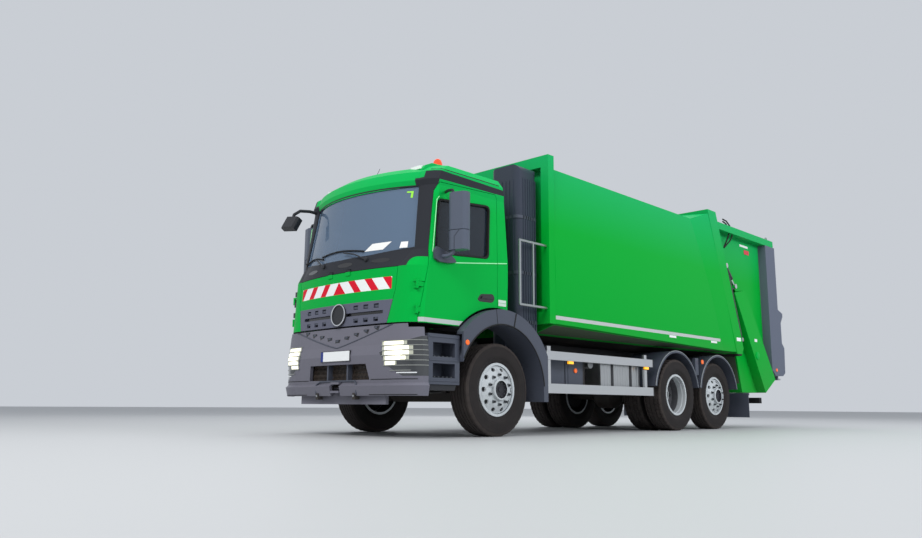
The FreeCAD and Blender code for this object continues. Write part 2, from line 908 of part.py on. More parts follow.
def springs():
    middle = S.spring_track / 2
    side = (middle - S.spring_width / 2, middle + S.spring_width / 2)
    eye_top = S.frame_bottom - S.bracket_thickness
    seat_low = AXLE_HEIGHT + S.beam_height / 2 - S.beam_drop
    seat_high = eye_top - S.spring_sag * leaf_shares[2][1] - S.spring_thickness
    half_seat = S.spring_half_length * leaf_shares[3][0]
    pieces = [
        prism("front_leaf", "x", leaf_outline(FRONT_AXLE, S.spring_half_length, S.spring_sag, eye_top), side),
        block("front_seat", side, (FRONT_AXLE - half_seat, FRONT_AXLE + half_seat), (seat_low, seat_high)),
    ]
    for name, y in (("front", FRONT_AXLE - S.spring_half_length), ("rear", FRONT_AXLE + S.spring_half_length - S.bracket_thickness)):
        pieces.append(block(f"{name}_hanger", side, (y, y + S.bracket_thickness), (eye_top, S.frame_bottom)))
    whole = [fused("front_spring", pieces)]
    for name, station, rest in (("drive", DRIVE_AXLE, AXLE_HEIGHT + S.axle_tube_radius),
                                ("tag", TAG_AXLE, AXLE_HEIGHT + S.beam_height / 2 - S.beam_drop)):
        low = AXLE_HEIGHT + S.axle_tube_radius
        high = low + S.spring_thickness
        parts = [block(f"{name}_trailing_arm", side, (station - S.trailing_arm_front, station + S.trailing_arm_rear), (low, high))]
        if rest.value < low.value:
            parts.append(block(f"{name}_axle_seat", side, (station - S.beam_depth / 2, station + S.beam_depth / 2), (rest, low)))
        hanger = (station - S.trailing_arm_front, station - S.trailing_arm_front + S.bracket_thickness)
        parts.append(block(f"{name}_arm_hanger", side, hanger, (low, S.frame_bottom)))
        bellows_middle = (middle, station + S.trailing_arm_rear - S.bellows_radius)
        parts.append(rod(f"{name}_bellows", "z", S.bellows_radius, (high - S.spring_thickness / 2, S.frame_bottom), bellows_middle))
        whole.append(fused(f"{name}_suspension", parts))
    return both_sides(whole)


def powertrain():
    half = S.engine_width / 2
    engine_rear = S.engine_front + S.engine_length
    engine = block("engine", (-half, half), (S.engine_front, engine_rear), (S.engine_bottom, S.engine_bottom + S.engine_height))
    box_half = S.gearbox_width / 2
    box_rear = engine_rear + S.gearbox_length
    box_low = S.shaft_height - S.gearbox_height * 0.25
    gearbox = block("gearbox", (-box_half, box_half), (engine_rear, box_rear), (box_low, box_low + S.gearbox_height))
    shaft = rod("propshaft", "y", S.shaft_radius, (box_rear, DRIVE_AXLE - S.axle_nose_reach), (0, S.shaft_height))
    mounts = [block(f"engine_mount_{i}", (half, FRAME_HALF - S.frame_steel),
                    (y, y + S.crossmember_depth), (S.frame_bottom + S.frame_steel, S.frame_bottom + S.crossmember_depth))
              for i, y in enumerate((S.engine_front + S.overrun, engine_rear - S.overrun - S.crossmember_depth))]
    return fused("powertrain", [engine, gearbox, shaft] + both_sides(mounts))


def subframe():
    """Two long bars between the frame and the body floor."""
    inner = FRAME_HALF - S.subframe_width
    bar = block("subframe_bar", (inner, FRAME_HALF), (S.subframe_front, S.frame_rear), (FRAME_TOP, FRAME_TOP + S.subframe_height))
    ties = [block(f"subframe_tie_{i}", (-inner, inner), (station, station + S.crossmember_depth),
                  (FRAME_TOP + S.frame_steel, FRAME_TOP + S.subframe_height))
            for i, station in enumerate(CROSSMEMBER_STATIONS[2:])]
    return fused("subframe_whole", both_sides([bar]) + ties)


def chassis():
    node("chassis_frame", [chassis_frame()])
    axle_items = [steered_beam("front_beam", FRONT_AXLE), drive_axle(), steered_beam("tag_beam", TAG_AXLE)]
    node("axles", axle_items)
    node("suspension", springs())
    node("powertrain", [powertrain()])
    node("subframe", [subframe()])


# Equipment along the frame

TANK_TOP = S.tank_bottom + S.tank_height


def long_corner(edge, size):
    """Says whether an edge runs along Y over the given length."""
    direction = edge.Vertexes[-1].Point - edge.Vertexes[0].Point
    return abs(abs(direction.y) - size) < 1e-3 and abs(direction.x) + abs(direction.z) < 1e-3


def fuel_tank():
    length = mm(S.tank_length)
    size = point(S.tank_outer - S.tank_inner, S.tank_length, S.tank_height)
    box = Part.makeBox(size.x, size.y, size.z, point(S.tank_inner, S.tank_front, S.tank_bottom))
    tank = rounded(box, mm(S.tank_corner), lambda edge: long_corner(edge, length))
    arms = [Part.makeBox(mm(S.tank_inner - FRAME_HALF + S.tank_corner), mm(S.strap_width), mm(S.bracket_thickness),
                         point(FRAME_HALF, S.tank_front + S.tank_length * share, S.frame_bottom + S.bracket_thickness))
            for share in strap_shares]
    return feature("fuel_tank_shape", tank.fuse(arms))


strap_shares = (0.25, 0.72)


def side_equipment():
    """Battery box with air tanks on the left, silencer box and air tank on the right."""
    rear = S.box_front + S.box_length
    tall = (S.tank_bottom, TANK_TOP)
    box = block("battery_box", (S.tank_inner, S.tank_outer - S.tank_corner), (S.box_front, rear), tall)
    arm_height = (S.frame_bottom + S.bracket_thickness, S.frame_bottom + S.bracket_thickness * 2)
    box_arm = block("battery_arm", (FRAME_HALF, S.tank_inner), (S.box_front + S.strap_width, rear - S.strap_width), arm_height)
    left = fused("battery_whole", [box, box_arm])
    silencer_rear = rear + S.box_length * 0.3
    silencer = block("silencer", (-S.tank_outer, -S.tank_inner), (S.box_front, silencer_rear), tall)
    silencer_arm = block("silencer_arm", (-S.tank_inner, -FRAME_HALF), (S.box_front + S.strap_width, rear), arm_height)
    right = fused("silencer_whole", [silencer, silencer_arm])
    middle = (S.tank_inner + S.tank_outer) / 2
    tank_span = (silencer_rear + S.overrun, S.guard_rear - S.overrun * 4)
    air = rod("air_tank", "y", S.air_tank_radius, tank_span, (-middle, S.frame_bottom))
    air_arm = block("air_arm", (-middle, -FRAME_HALF), (tank_span[0] + S.strap_width, tank_span[0] + S.strap_width * 2), arm_height)
    return [left, right, fused("air_whole", [air, air_arm])]


GUARD_FRONT = FRONT_AXLE + S.fender_rear_reach + S.running_clearance


def side_guard():
    """The left guard: two rails, two posts and the arms that carry them on the frame."""
    outer = (S.guard_outer - S.guard_thickness, S.guard_outer)
    post = (outer[0] - S.guard_thickness, outer[0])
    pieces = [
        block("guard_high", outer, (GUARD_FRONT, S.guard_rear), (S.guard_top - S.guard_rail_height, S.guard_top)),
        block("guard_low", outer, (GUARD_FRONT, S.guard_rear), (S.guard_low_bottom, S.guard_low_bottom + S.guard_low_height)),
    ]
    arm_low = TANK_TOP + S.strap_thickness * 2
    for i, start in enumerate((GUARD_FRONT + S.strap_width, S.guard_rear - S.guard_post_inset)):
        width = (start, start + S.guard_post_width)
        pieces.append(block(f"guard_post_{i}", post, width, (S.guard_low_bottom, arm_low + S.guard_arm_height)))
        pieces.append(block(f"guard_arm_{i}", (FRAME_HALF, post[1]), width, (FRAME_TOP - S.guard_arm_height, FRAME_TOP)))
    return fused("side_guard", pieces)


def mudguard(name, station, first, last):
    """A half ring above one wheel, from one level to the other across the wheel's top."""
    centre = Vector(0, mm(station), mm(AXLE_HEIGHT))
    width = mm(S.mudguard_outer - S.mudguard_inner)
    start = Vector(mm(S.mudguard_inner), centre.y, centre.z)
    outer = Part.makeCylinder(mm(S.mudguard_radius), width, start, Vector(1, 0, 0))
    inner = Part.makeCylinder(mm(S.mudguard_radius - S.mudguard_thickness), width, start, Vector(1, 0, 0))
    radius = mm(S.mudguard_radius)
    half = S.mudguard_radius + S.overrun
    window = Part.makeBox(width, 2 * mm(half), 2 * mm(half), point(S.mudguard_inner, station - half, S.mudguard_low))
    ring = outer.cut(inner).common(window)
    arm_z = S.mudguard_low + S.frame_height * 0.5
    reach = math.sqrt(radius ** 2 - mm(arm_z - AXLE_HEIGHT) ** 2)
    side = first if first else last
    arm_y = mm(station) + side * (reach - mm(S.mudguard_thickness) / 2)
    arm = Part.makeBox(mm(S.mudguard_inner + S.overrun - FRAME_HALF), mm(S.mudguard_thickness), mm(S.mudguard_arm),
                       Vector(mm(FRAME_HALF), arm_y - mm(S.mudguard_thickness) / 2, mm(arm_z)))
    return feature(name, ring.fuse(arm))


def mud_flap():
    """Flap, its cross bar and the arm from the frame's end."""
    bar_low = S.flap_top - S.mudguard_arm
    y = (S.flap_station, S.flap_station + S.mudguard_arm)
    bar = block("flap_bar", (FRAME_HALF - S.frame_flange, S.mudguard_outer), y, (bar_low, S.flap_top))
    arm = block("flap_arm", (FRAME_HALF - S.frame_flange, FRAME_HALF), (S.frame_rear - S.overrun * 2, y[1]), (bar_low, S.flap_top))
    riser = block("flap_riser", (FRAME_HALF - S.frame_flange, FRAME_HALF),
                  (S.frame_rear - S.overrun * 2, S.frame_rear - S.overrun), (bar_low, S.frame_bottom))
    sheet_item = block("flap_sheet", (S.mudguard_inner, S.mudguard_outer), (y[0], y[0] + S.flap_thickness), (S.flap_bottom, bar_low))
    return fused("mud_flap", [bar, arm, riser, sheet_item])


def equipment():
    node("fuel_tank", [fuel_tank()])
    node("side_equipment", side_equipment())
    node("side_guards", both_sides([side_guard()]))
    guards = [mudguard("drive_mudguard", DRIVE_AXLE, -1, 0), mudguard("tag_mudguard", TAG_AXLE, 0, 1)]
    node("rear_mudguards", both_sides(guards))
    node("mud_flaps", both_sides([mud_flap()]))


# Shells that are lofted through plan outlines

CORNER_BULGE_SHARES = (0.66, 0.34)


def plan_wire(section, half_width, bow, length, inset):
    """A closed plan outline: bowed front, rounded corners, straight sides and back."""
    level, front, corner_x, corner_y, side_x, side_y, rear, roof = section
    z = mm(level) - inset * roof
    front_y = bow * front + inset
    corner = (half_width * corner_x - inset * 0.8, bow * corner_y + inset)
    side = (half_width * side_x - inset, bow * side_y + inset * 0.5)
    back = length * rear - inset
    bulge = (corner[0] + (side[0] - corner[0]) * CORNER_BULGE_SHARES[0],
             corner[1] + (side[1] - corner[1]) * CORNER_BULGE_SHARES[1])
    left = [Vector(side[0], back, z), Vector(side[0], side[1], z), Vector(bulge[0], bulge[1], z), Vector(corner[0], corner[1], z)]
    right = [Vector(-p.x, p.y, p.z) for p in left]
    return Part.Wire([
        Part.makeLine(left[0], left[1]),
        Part.Arc(left[1], left[2], left[3]).toShape(),
        Part.Arc(left[3], Vector(0, front_y, z), right[3]).toShape(),
        Part.Arc(right[3], right[2], right[1]).toShape(),
        Part.makeLine(right[1], right[0]),
        Part.makeLine(right[0], left[0]),
    ])


def lofted(sections, half_width, bow, length, inset, low=None):
    """A closed solid through the plan outlines, set in all round by `inset`."""
    wires = []
    for index, section in enumerate(sections):
        wire = plan_wire(section, mm(half_width), mm(bow), mm(length), inset)
        if low is not None and index == 0:
            wire.translate(Vector(0, 0, mm(low) - mm(section[0])))
        wires.append(wire)
    return Part.makeLoft(wires, True, True)


def front_prism(outline, depth):
    """A solid from a front view outline of (x, z) corners, through the given depth."""
    corners = [point(x, depth[0], z) for x, z in outline]
    face = Part.Face(Part.makePolygon(corners + corners[:1]))
    return face.extrude(Vector(0, mm(depth[1]) - mm(depth[0]), 0))


# Cab. Each row: level, then shares of the bow for the front and corner stations, shares of
# the half width for the corner and side, a share of the length for the back, and how much
# of an inset the level takes.

CAB_SECTIONS = [
    (S.cab_bottom, 0.125, 0.69, 0.19, 1.0, 0.66, 0.99, 0),
    (S.flap_edge_height, 0.055, 0.774, 0.345, 1.0, 0.825, 1.0, 0),
    (S.screen_bottom, 0.15, 0.835, 0.66, 1.0, 1.02, 1.0, 0),
    (S.screen_top, 0.35, 0.796, 0.96, 0.99, 1.22, 0.967, 0),
    (S.roof_edge, 0.34, 0.81, 0.92, 1.0, 1.18, 0.959, 0),
    (S.roof_strip, 0.46, 0.81, 1.02, 1.0, 1.27, 0.946, 0),
    (S.roof_shoulder, 0.8, 0.74, 1.35, 0.955, 1.65, 0.93, 0.7),
    (S.roof_top, 1.5, 0.56, 1.95, 0.74, 2.2, 0.887, 1),
]
CAB_ARCH_RADIUS = S.fender_radius + S.cab_arch_gap
DOOR_SWEEP_SHARE = 2
DOOR_LEAN_SHARE = 0.29


def cab_solid(inset, low=None):
    return lofted(CAB_SECTIONS, S.cab_half_width, S.cab_bow, S.cab_length, inset, low)


def wheel_well(radius, inner, side):
    start = Vector(mm(inner), mm(FRONT_AXLE), mm(AXLE_HEIGHT))
    well = Part.makeCylinder(mm(radius), mm(S.cab_half_width), start, Vector(1, 0, 0))
    return well if side > 0 else well.mirror(Vector(), Vector(1, 0, 0))


DOOR_OUTLINE = [
    (S.door_front, S.cab_bottom - S.overrun),
    (S.door_front, S.cab_bottom + S.cab_wall),
    (S.door_front + S.cab_bow * DOOR_LEAN_SHARE, S.flap_edge_height + S.cab_wall),
    (S.door_front + S.cab_bow * 0.55, S.screen_top - S.cab_wall * 1.4),
    (S.door_front + S.cab_bow * 0.68, S.screen_top + S.cab_wall * 0.6),
    (S.door_rear - S.cab_wall * 0.8, S.roof_edge),
    (S.door_rear, S.roof_edge - S.cab_wall),
    (S.door_rear, S.cab_bottom - S.overrun),
]
WINDOW_OUTLINE = [
    (S.door_front + S.cab_bow * 0.48, S.screen_bottom - S.cab_wall),
    (S.door_front + S.cab_bow * 0.62, S.screen_top - S.cab_wall * 3.2),
    (S.door_rear - S.cab_bow * 0.31, S.screen_top - S.cab_wall * 1.7),
    (S.door_rear - S.cab_bow * 0.36, S.screen_bottom + S.cab_wall * 0.2),
]


def side_face(outline, x, shrink=0):
    """A side view face at one X, set in all round by `shrink`."""
    corners = [point(x, y, z) for y, z in outline]
    face = Part.Face(Part.makePolygon(corners + corners[:1]))
    return face.makeOffset2D(-mm(shrink)) if shrink else face


def side_prism(outline, shrink=0, corner=None, far=None):
    start = S.cab_half_width - S.door_reach
    depth = mm(far) if far else mm(S.door_reach + S.overrun)
    solid = side_face(outline, start, shrink).extrude(Vector(depth, 0, 0))
    if corner:
        solid = rounded(solid, mm(corner), lambda edge: abs(edge.Length - depth) < 1e-3)
    return solid


SCREEN_OUTLINE = [
    (0.857, 0.04), (0.4, -0.028), (0, -0.04), (-0.4, -0.028), (-0.857, 0.04),
    (-0.8, 1.0), (-0.4, 0.985), (0, 0.98), (0.4, 0.985), (0.8, 1.0),
]


def screen_prism():
    height = S.screen_top - S.screen_bottom
    corners = [(S.cab_half_width * x, S.screen_bottom + height * z) for x, z in SCREEN_OUTLINE]
    return front_prism(corners, (-S.overrun, S.cab_bow * 1.6))


def rear_window_prism():
    corners = [(-S.rear_window_half, S.rear_window_low), (S.rear_window_half, S.rear_window_low),
               (S.rear_window_half, S.rear_window_high), (-S.rear_window_half, S.rear_window_high)]
    return front_prism(corners, (S.cab_length - S.cab_bow, S.cab_length + S.overrun))


def flap_outline(low, high, shrink=0):
    """The front flap seen from the front, between two levels."""
    shares = ((0.0, 0.682), (0.585, 0.758), (1.0, 0.765))
    height = S.flap_edge_height - S.cab_bottom
    edge = []
    for rise, reach in shares:
        edge.append((S.cab_half_width * reach - shrink, S.cab_bottom + height * rise))
    inside = [(x, z) for x, z in edge if mm(low) < mm(z) < mm(high)]
    right = [(flap_reach(edge, low), low)] + inside + [(flap_reach(edge, high), high)]
    return right + [(-x, z) for x, z in reversed(right)]


def flap_reach(edge, level):
    for (x_low, z_low), (x_high, z_high) in zip(edge, edge[1:]):
        if mm(z_low) - 1 <= mm(level) <= mm(z_high) + 1:
            share = (mm(level) - mm(z_low)) / (mm(z_high) - mm(z_low))
            return x_low + (x_high - x_low) * share
    return edge[-1][0]


def cab_pieces():
    """Cab shell, doors, flap and glass are parted from one outer and one inner form."""
    wall = mm(S.cab_wall)
    gap = mm(S.running_clearance)
    outer = cab_solid(0)
    inner_full = cab_solid(wall, S.cab_bottom - S.overrun)
    inner_floor = cab_solid(wall, S.cab_bottom + S.cab_floor)
    deeper = cab_solid(wall + gap, S.cab_bottom - S.overrun)
    for side in (1, -1):
        outer = outer.cut(wheel_well(CAB_ARCH_RADIUS, S.cab_arch_inner, side))
        inner_floor = inner_floor.cut(wheel_well(CAB_ARCH_RADIUS + S.cab_floor, S.cab_arch_inner - S.cab_floor, side))
    shell = outer.cut(inner_floor)
    skin = outer.cut(inner_full)
    deep_skin = outer.cut(deeper)
    door_hole = deep_skin.common(side_prism(DOOR_OUTLINE))
    door = skin.common(side_prism(DOOR_OUTLINE, S.running_clearance))
    window = side_prism(WINDOW_OUTLINE, 0, S.window_corner)
    door = door.cut(window)
    pane = side_prism(WINDOW_OUTLINE, 0, S.window_corner, S.glass_thickness)
    pane.translate(Vector(mm(S.door_reach) - wall * 0.75, 0, 0))
    mirror = (Vector(), Vector(1, 0, 0))
    shell = shell.cut([door_hole, door_hole.mirror(*mirror)])
    depth = (-S.overrun, S.cab_bow)
    flap_low = S.cab_bottom - S.overrun
    flap_high = S.flap_edge_height
    flap_wall = outer.cut(cab_solid(mm(S.flap_wall)))
    flap_hole = front_prism(flap_outline(S.cab_bottom, flap_high), depth)
    flap_hole = flap_hole.fuse(front_prism([(-S.cab_half_width * 0.682, flap_low), (S.cab_half_width * 0.682, flap_low),
                                            (S.cab_half_width * 0.682, S.cab_bottom + gap), (-S.cab_half_width * 0.682, S.cab_bottom + gap)], depth))
    panel = flap_wall.common(front_prism(flap_outline(S.grille_top, flap_high - gap, gap), depth))
    grille_zone = flap_wall.common(front_prism(flap_outline(S.cab_bottom + gap, S.grille_top, gap), depth))
    shell = shell.cut(flap_hole)
    screen = screen_prism()
    shell = shell.cut(screen)
    outside = mm(S.glass_inset)
    thick = mm(S.glass_thickness)
    pane_skin = cab_solid(outside).cut(cab_solid(outside + thick))
    screen_glass = pane_skin.common(screen)
    back_hole = rear_window_prism()
    shell = shell.cut(back_hole)
    back_glass = pane_skin.common(back_hole)
    return {
        "shell": shell, "door": door, "pane": pane, "panel": panel, "grille": grille_zone,
        "screen": screen_glass, "back": back_glass,
    }


def cab_arm():
    """The left arm below the cab floor, from its tilt pivot up and back to the floor."""
    half = FRAME_HALF - S.frame_flange
    side = (half - S.overrun, half - S.seat_clearance)
    y, z = S.cab_pivot_station, S.cab_pivot_height
    radius = S.cab_pivot_radius
    rise = S.cab_bottom + S.cab_floor / 2 - z
    run = rise * cab_arm_lean
    thick = radius * 2 / 3
    arm = fleshed([(y, z + thick), (y + run, z + rise), (y + run + radius * 2, z + rise), (y, z - thick)], side)
    eye = Part.makeCylinder(mm(radius), mm(side[1] - side[0]), point(side[0], y, z), Vector(1, 0, 0))
    pin = Part.makeCylinder(mm(radius / 2 + S.seat_clearance), mm(S.overrun) * 2,
                            point(side[0] - S.running_clearance, y, z), Vector(1, 0, 0))
    return arm.fuse(eye).cut(pin)


cab_arm_lean = 2.25


def flap_hinge():
    """The left hinge of the front flap: its pocket in the cab, its pin, its knuckle."""
    y, z = S.flap_pivot_station, S.flap_pivot_height
    gap = S.running_clearance
    knuckle_radius = S.flap_pivot_radius * 1.8
    x0, x1 = S.flap_pivot_inner, S.flap_pivot_outer
    pocket = Part.makeBox(mm(x1 - x0 + gap * 2), mm(y + knuckle_radius + gap + S.overrun), mm(z + knuckle_radius + gap - S.flap_edge_height + gap),
                          point(x0 - gap, -S.overrun, S.flap_edge_height - gap))
    pin = Part.makeCylinder(mm(S.flap_pivot_radius), mm(x1 - x0 + gap * 4), point(x0 - gap * 2, y, z), Vector(1, 0, 0))
    barrel = Part.makeCylinder(mm(knuckle_radius), mm(x1 - x0), point(x0, y, z), Vector(1, 0, 0))
    neck = Part.makeBox(mm(x1 - x0), mm(knuckle_radius * 1.6), mm(z - S.flap_edge_height + S.flap_wall), point(x0, y - knuckle_radius * 0.6, S.flap_edge_height - S.flap_wall))
    bore = Part.makeCylinder(mm(S.flap_pivot_radius + S.seat_clearance), mm(x1 - x0) * 2, point(x0 - S.overrun / 2, y, z), Vector(1, 0, 0))
    return pocket, pin, barrel.fuse(neck).cut(bore)


def door_hinges():
    """Two hinges before the left door: pins with bosses, knuckles with straps, and their room."""
    x = S.cab_half_width - S.door_hinge_inset
    y = S.door_hinge_station
    pin_radius = mm(S.door_hinge_radius)
    knuckle_radius = mm(S.door_hinge_radius * 1.8)
    length = S.door_hinge_length
    gap = S.running_clearance
    sweep = Part.makeCylinder(mm(S.cab_wall) * DOOR_SWEEP_SHARE, mm(S.overrun + S.cab_floor + gap),
                              point(x, y, S.cab_bottom - S.overrun))
    before = Part.makeBox(mm(S.cab_half_width), mm(S.door_front), mm(S.cab_bottom) * 2, point(0, 0, 0))
    fixed, moving, rooms = [], [], [sweep.cut(before)]
    for low in (S.door_hinge_low, S.door_hinge_high):
        end = length * 0.2
        fixed.append(Part.makeCylinder(pin_radius, mm(length), point(x, y, low)))
        for z in (low, low + length - end):
            fixed.append(Part.makeCylinder(knuckle_radius, mm(end), point(x, y, z)))
            inner = S.cab_half_width * 0.84
            fixed.append(Part.makeBox(mm(x - inner), mm(S.door_hinge_radius * 2), mm(end), point(inner, y - S.door_hinge_radius, z)))
        z = low + end + S.seat_clearance
        height = mm(length - end * 2 - S.seat_clearance * 2)
        knuckle_shape = Part.makeCylinder(knuckle_radius, height, point(x, y, z))
        strap = Part.makeBox(mm(S.door_hinge_radius * 1.6), mm(S.cab_bow * 0.45), height, point(x, y, z))
        bore = Part.makeCylinder(pin_radius + mm(S.seat_clearance), height * 2, point(x, y, z - S.overrun / 2))
        moving.append(knuckle_shape.fuse(strap).cut(bore))
        room_side = S.door_hinge_radius * 1.8 + gap
        edge = S.door_front + S.cab_bow * DOOR_LEAN_SHARE
        rooms.append(Part.makeBox(mm(S.cab_wall * 2), mm(edge - y + room_side), height + mm(gap) * 2,
                                  point(x - room_side, y - room_side, z - gap)))
    return fixed, moving, rooms


def grille_shape(zone):
    """Two broad bars with vents, joined at both ends."""
    middle = (S.cab_bottom + S.grille_top) / 2
    open_half = S.cab_half_width * 0.62
    slot = front_prism([(-open_half, middle - S.grille_gap / 2), (open_half, middle - S.grille_gap / 2),
                        (open_half, middle + S.grille_gap / 2), (-open_half, middle + S.grille_gap / 2)],
                       (-S.overrun, S.cab_bow))
    tools = [slot]
    bar = (S.grille_top - S.cab_bottom - S.grille_gap) / 2
    for low in (S.cab_bottom, S.cab_bottom + bar + S.grille_gap):
        z = low + bar / 2 - S.vent_height / 2
        for share in vent_shares:
            x = S.cab_half_width * share - S.vent_width / 2
            size = (mm(S.vent_width), mm(S.cab_bow), mm(S.vent_height))
            tools.append(Part.makeBox(*size, point(x, -S.overrun, z)))
            tools.append(Part.makeBox(*size, point(-x - S.vent_width, -S.overrun, z)))
    return zone.cut(tools)


vent_shares = (0.25, 0.39, 0.53)


def pipe(points, radius):
    """Straight round bars joined by balls at the corners."""
    pieces = []
    for start, end in zip(points, points[1:]):
        run = end - start
        pieces.append(Part.makeCylinder(radius, run.Length, start, run))
    for corner in points[1:-1]:
        pieces.append(Part.makeSphere(radius, corner))
    return pieces[0].fuse(pieces[1:])


def mirror_left():
    """Mirror head with an upper and a lower arm from the door."""
    z = (S.mirror_bottom, S.mirror_bottom + S.mirror_height)
    corner = point(S.mirror_inner, S.mirror_front, z[0])
    head = Part.makeBox(mm(S.mirror_width), mm(S.mirror_depth), mm(S.mirror_height), corner)
    head = rounded(head, mm(S.mirror_depth) * 0.3, lambda edge: abs(edge.Length - mm(S.mirror_height)) < 1e-3)
    head.rotate(corner, Vector(0, 0, 1), S.mirror_turn.value)
    middle = S.mirror_front + S.mirror_depth * 0.5
    wall = S.cab_half_width
    arm = mm(S.mirror_arm)
    lower = pipe([point(wall + S.seat_clearance, S.door_front + S.cab_bow * 0.62, z[0] - S.mirror_arm * 2.2),
                  point(S.mirror_inner + S.mirror_arm, middle, z[0] - S.mirror_arm * 0.6),
                  point(S.mirror_inner + S.mirror_arm * 2, middle, z[0] + S.mirror_arm)], arm)
    upper = pipe([point(wall + S.seat_clearance, S.door_front + S.cab_bow * 0.9, z[1] + S.mirror_arm * 2),
                  point(S.mirror_inner + S.mirror_arm, middle, z[1] + S.mirror_arm * 2),
                  point(S.mirror_inner + S.mirror_arm * 2, middle, z[1] - S.mirror_arm)], arm)
    slab = Part.makeBox(mm(S.overrun) * 2, mm(S.cab_bow) * 2, mm(S.roof_top), point(wall - S.overrun * 2 + S.seat_clearance, 0, 0))
    return head.fuse([lower, upper]).cut(slab)


def cab_interior():
    """Dashboard, steering wheel and two seats on the cab floor."""
    floor = S.cab_bottom + S.cab_floor
    inner = S.cab_half_width - S.cab_wall * 3
    dash = block("dash", (-inner, inner), (S.dash_station, S.dash_station + S.dash_depth), (floor + S.seat_clearance, floor + S.dash_height))
    pieces = [dash]
    x = (S.seat_offset - S.seat_width / 2, S.seat_offset + S.seat_width / 2)
    y = (S.seat_station, S.seat_station + S.seat_depth)
    low = AXLE_HEIGHT + CAB_ARCH_RADIUS + S.cab_floor + S.seat_clearance
    cushion = block("seat_cushion", x, y, (low, low + S.seat_height))
    back = block("seat_back", x, (y[1] - S.seat_back_depth, y[1]), (low, low + S.seat_back_height))
    well_side = S.cab_arch_inner - S.cab_floor - S.running_clearance
    pedestal = block("seat_pedestal", (x[0], well_side), y, (floor + S.seat_clearance, low))
    seats = both_sides([fused("seat", [cushion, back, pedestal])])
    top = floor + S.dash_height
    centre = point(S.seat_offset, S.dash_station + S.dash_depth + S.wheel_radius * 0.35, top + S.wheel_radius * 0.55)
    tilt = Vector(0, 1, 1.5)
    ring = Part.makeTorus(mm(S.wheel_radius), mm(S.wheel_grip), centre, tilt)
    column = Part.makeCylinder(mm(S.wheel_grip) * 1.6, mm(S.wheel_radius) * 0.9, centre - Vector(tilt).normalize() * mm(S.wheel_radius) * 0.85, tilt)
    spokes = [Part.makeCylinder(mm(S.wheel_grip) * 0.7, mm(S.wheel_radius) * 2, centre + Vector(-mm(S.wheel_radius), 0, 0), Vector(1, 0, 0))]
    wheel = feature("steering_wheel", ring.fuse([column] + spokes))
    return [fused("dash_whole", pieces + [wheel])] + seats


def cab():
    shapes = cab_pieces()
    right = (Vector(), Vector(1, 0, 0))
    fixed, moving, hinge_room = door_hinges()
    pocket, pin, barrel = flap_hinge()
    left = [cab_arm(), pin] + fixed
    rooms = [pocket] + hinge_room
    shell = shapes["shell"].cut(rooms + [room.mirror(*right) for room in rooms])
    shell = shell.fuse(left + [item.mirror(*right) for item in left])
    node("cab_shell", [feature("cab_shell_shape", shell)])
    node("cab_glass", [feature("screen_glass", shapes["screen"]), feature("back_glass", shapes["back"])])
    node("cab_interior", cab_interior())
    panel = feature("flap_panel_shape", shapes["panel"].fuse([barrel, barrel.mirror(*right)]))
    node("front_flap", [panel])
    node("grille", [feature("grille_shape", grille_shape(shapes["grille"]))])
    door = feature("door_shape", shapes["door"].fuse(moving))
    pane = feature("door_pane", shapes["pane"])
    mirror = feature("mirror_shape", mirror_left())
    for kind, item in (("door", door), ("door_glass", pane), ("mirror", mirror)):
        node(f"{kind}_left", [item])
        node(f"{kind}_right", [other_side(item)])
    node("cab_fittings", cab_fittings())


def cab_fittings():
    """Two beacons on the roof and the mirror over the windscreen on the right."""
    span = (S.roof_top + S.seat_clearance, S.roof_top + S.beacon_height)
    beacons = [rod(f"beacon_{i}", "z", S.beacon_radius, span, (side * S.beacon_offset, S.beacon_station))
               for i, side in enumerate((1, -1))]
    start = point(-S.cab_half_width * 0.86, S.cab_bow * 1.15, S.roof_edge - S.cab_wall)
    knee = point(-S.cab_half_width * 0.9, S.cab_bow * 0.4, S.roof_edge - S.cab_wall * 1.2)
    head = point(-S.cab_half_width * 0.93, S.cab_bow * 0.2, S.roof_edge - S.cab_wall * 4)
    arm = pipe([start, knee, head], mm(S.mirror_arm))
    plate = Part.makeBox(mm(S.kerb_mirror_size) * 1.4, mm(S.mirror_arm) * 2, mm(S.kerb_mirror_size),
                         head - Vector(mm(S.kerb_mirror_size) * 0.7, mm(S.mirror_arm), mm(S.kerb_mirror_size) * 0.5))
    shape = arm.fuse(plate).cut(cab_solid(-mm(S.seat_clearance)))
    return beacons + [feature("kerb_mirror", shape)]


# Bumper, lamps, fenders and entry steps

BUMPER_SECTIONS = [
    (S.bumper_bottom, 0.10, 0.66, 0.24, 0.985, 0.79, 1.0, 0),
    (S.bumper_step, 0.0, 0.66, 0.13, 1.0, 0.77, 1.0, 0),
    (S.bumper_recess, 0.16, 0.66, 0.30, 0.985, 0.78, 1.0, 0),
    (S.bumper_plate, 0.02, 0.66, 0.20, 0.985, 0.78, 1.0, 0),
    (S.bumper_shelf, 0.10, 0.66, 0.26, 0.975, 0.78, 1.0, 0),
    (S.bumper_top, 0.19, 0.66, 0.32, 0.955, 0.77, 1.0, 0),
]
LAMP_OUTLINE = [(0.575, 0.605), (0.985, 0.83), (1.06, 0.80), (1.06, 0.27), (0.83, 0.27), (0.665, 0.42)]


def bumper_solid(inset, low=None):
    return lofted(BUMPER_SECTIONS, S.bumper_half_width, S.bumper_bow, S.bumper_rear, inset, low)


def lamp_prism(shrink):
    height = S.bumper_top - S.bumper_bottom
    corners = [(S.bumper_half_width * x, S.bumper_bottom + height * z) for x, z in LAMP_OUTLINE]
    points = [point(x, -S.overrun, z) for x, z in corners]
    face = Part.Face(Part.makePolygon(points + points[:1]))
    if shrink:
        face = face.makeOffset2D(-mm(shrink))
    return face.extrude(Vector(0, mm(S.bumper_rear + S.overrun * 2), 0))


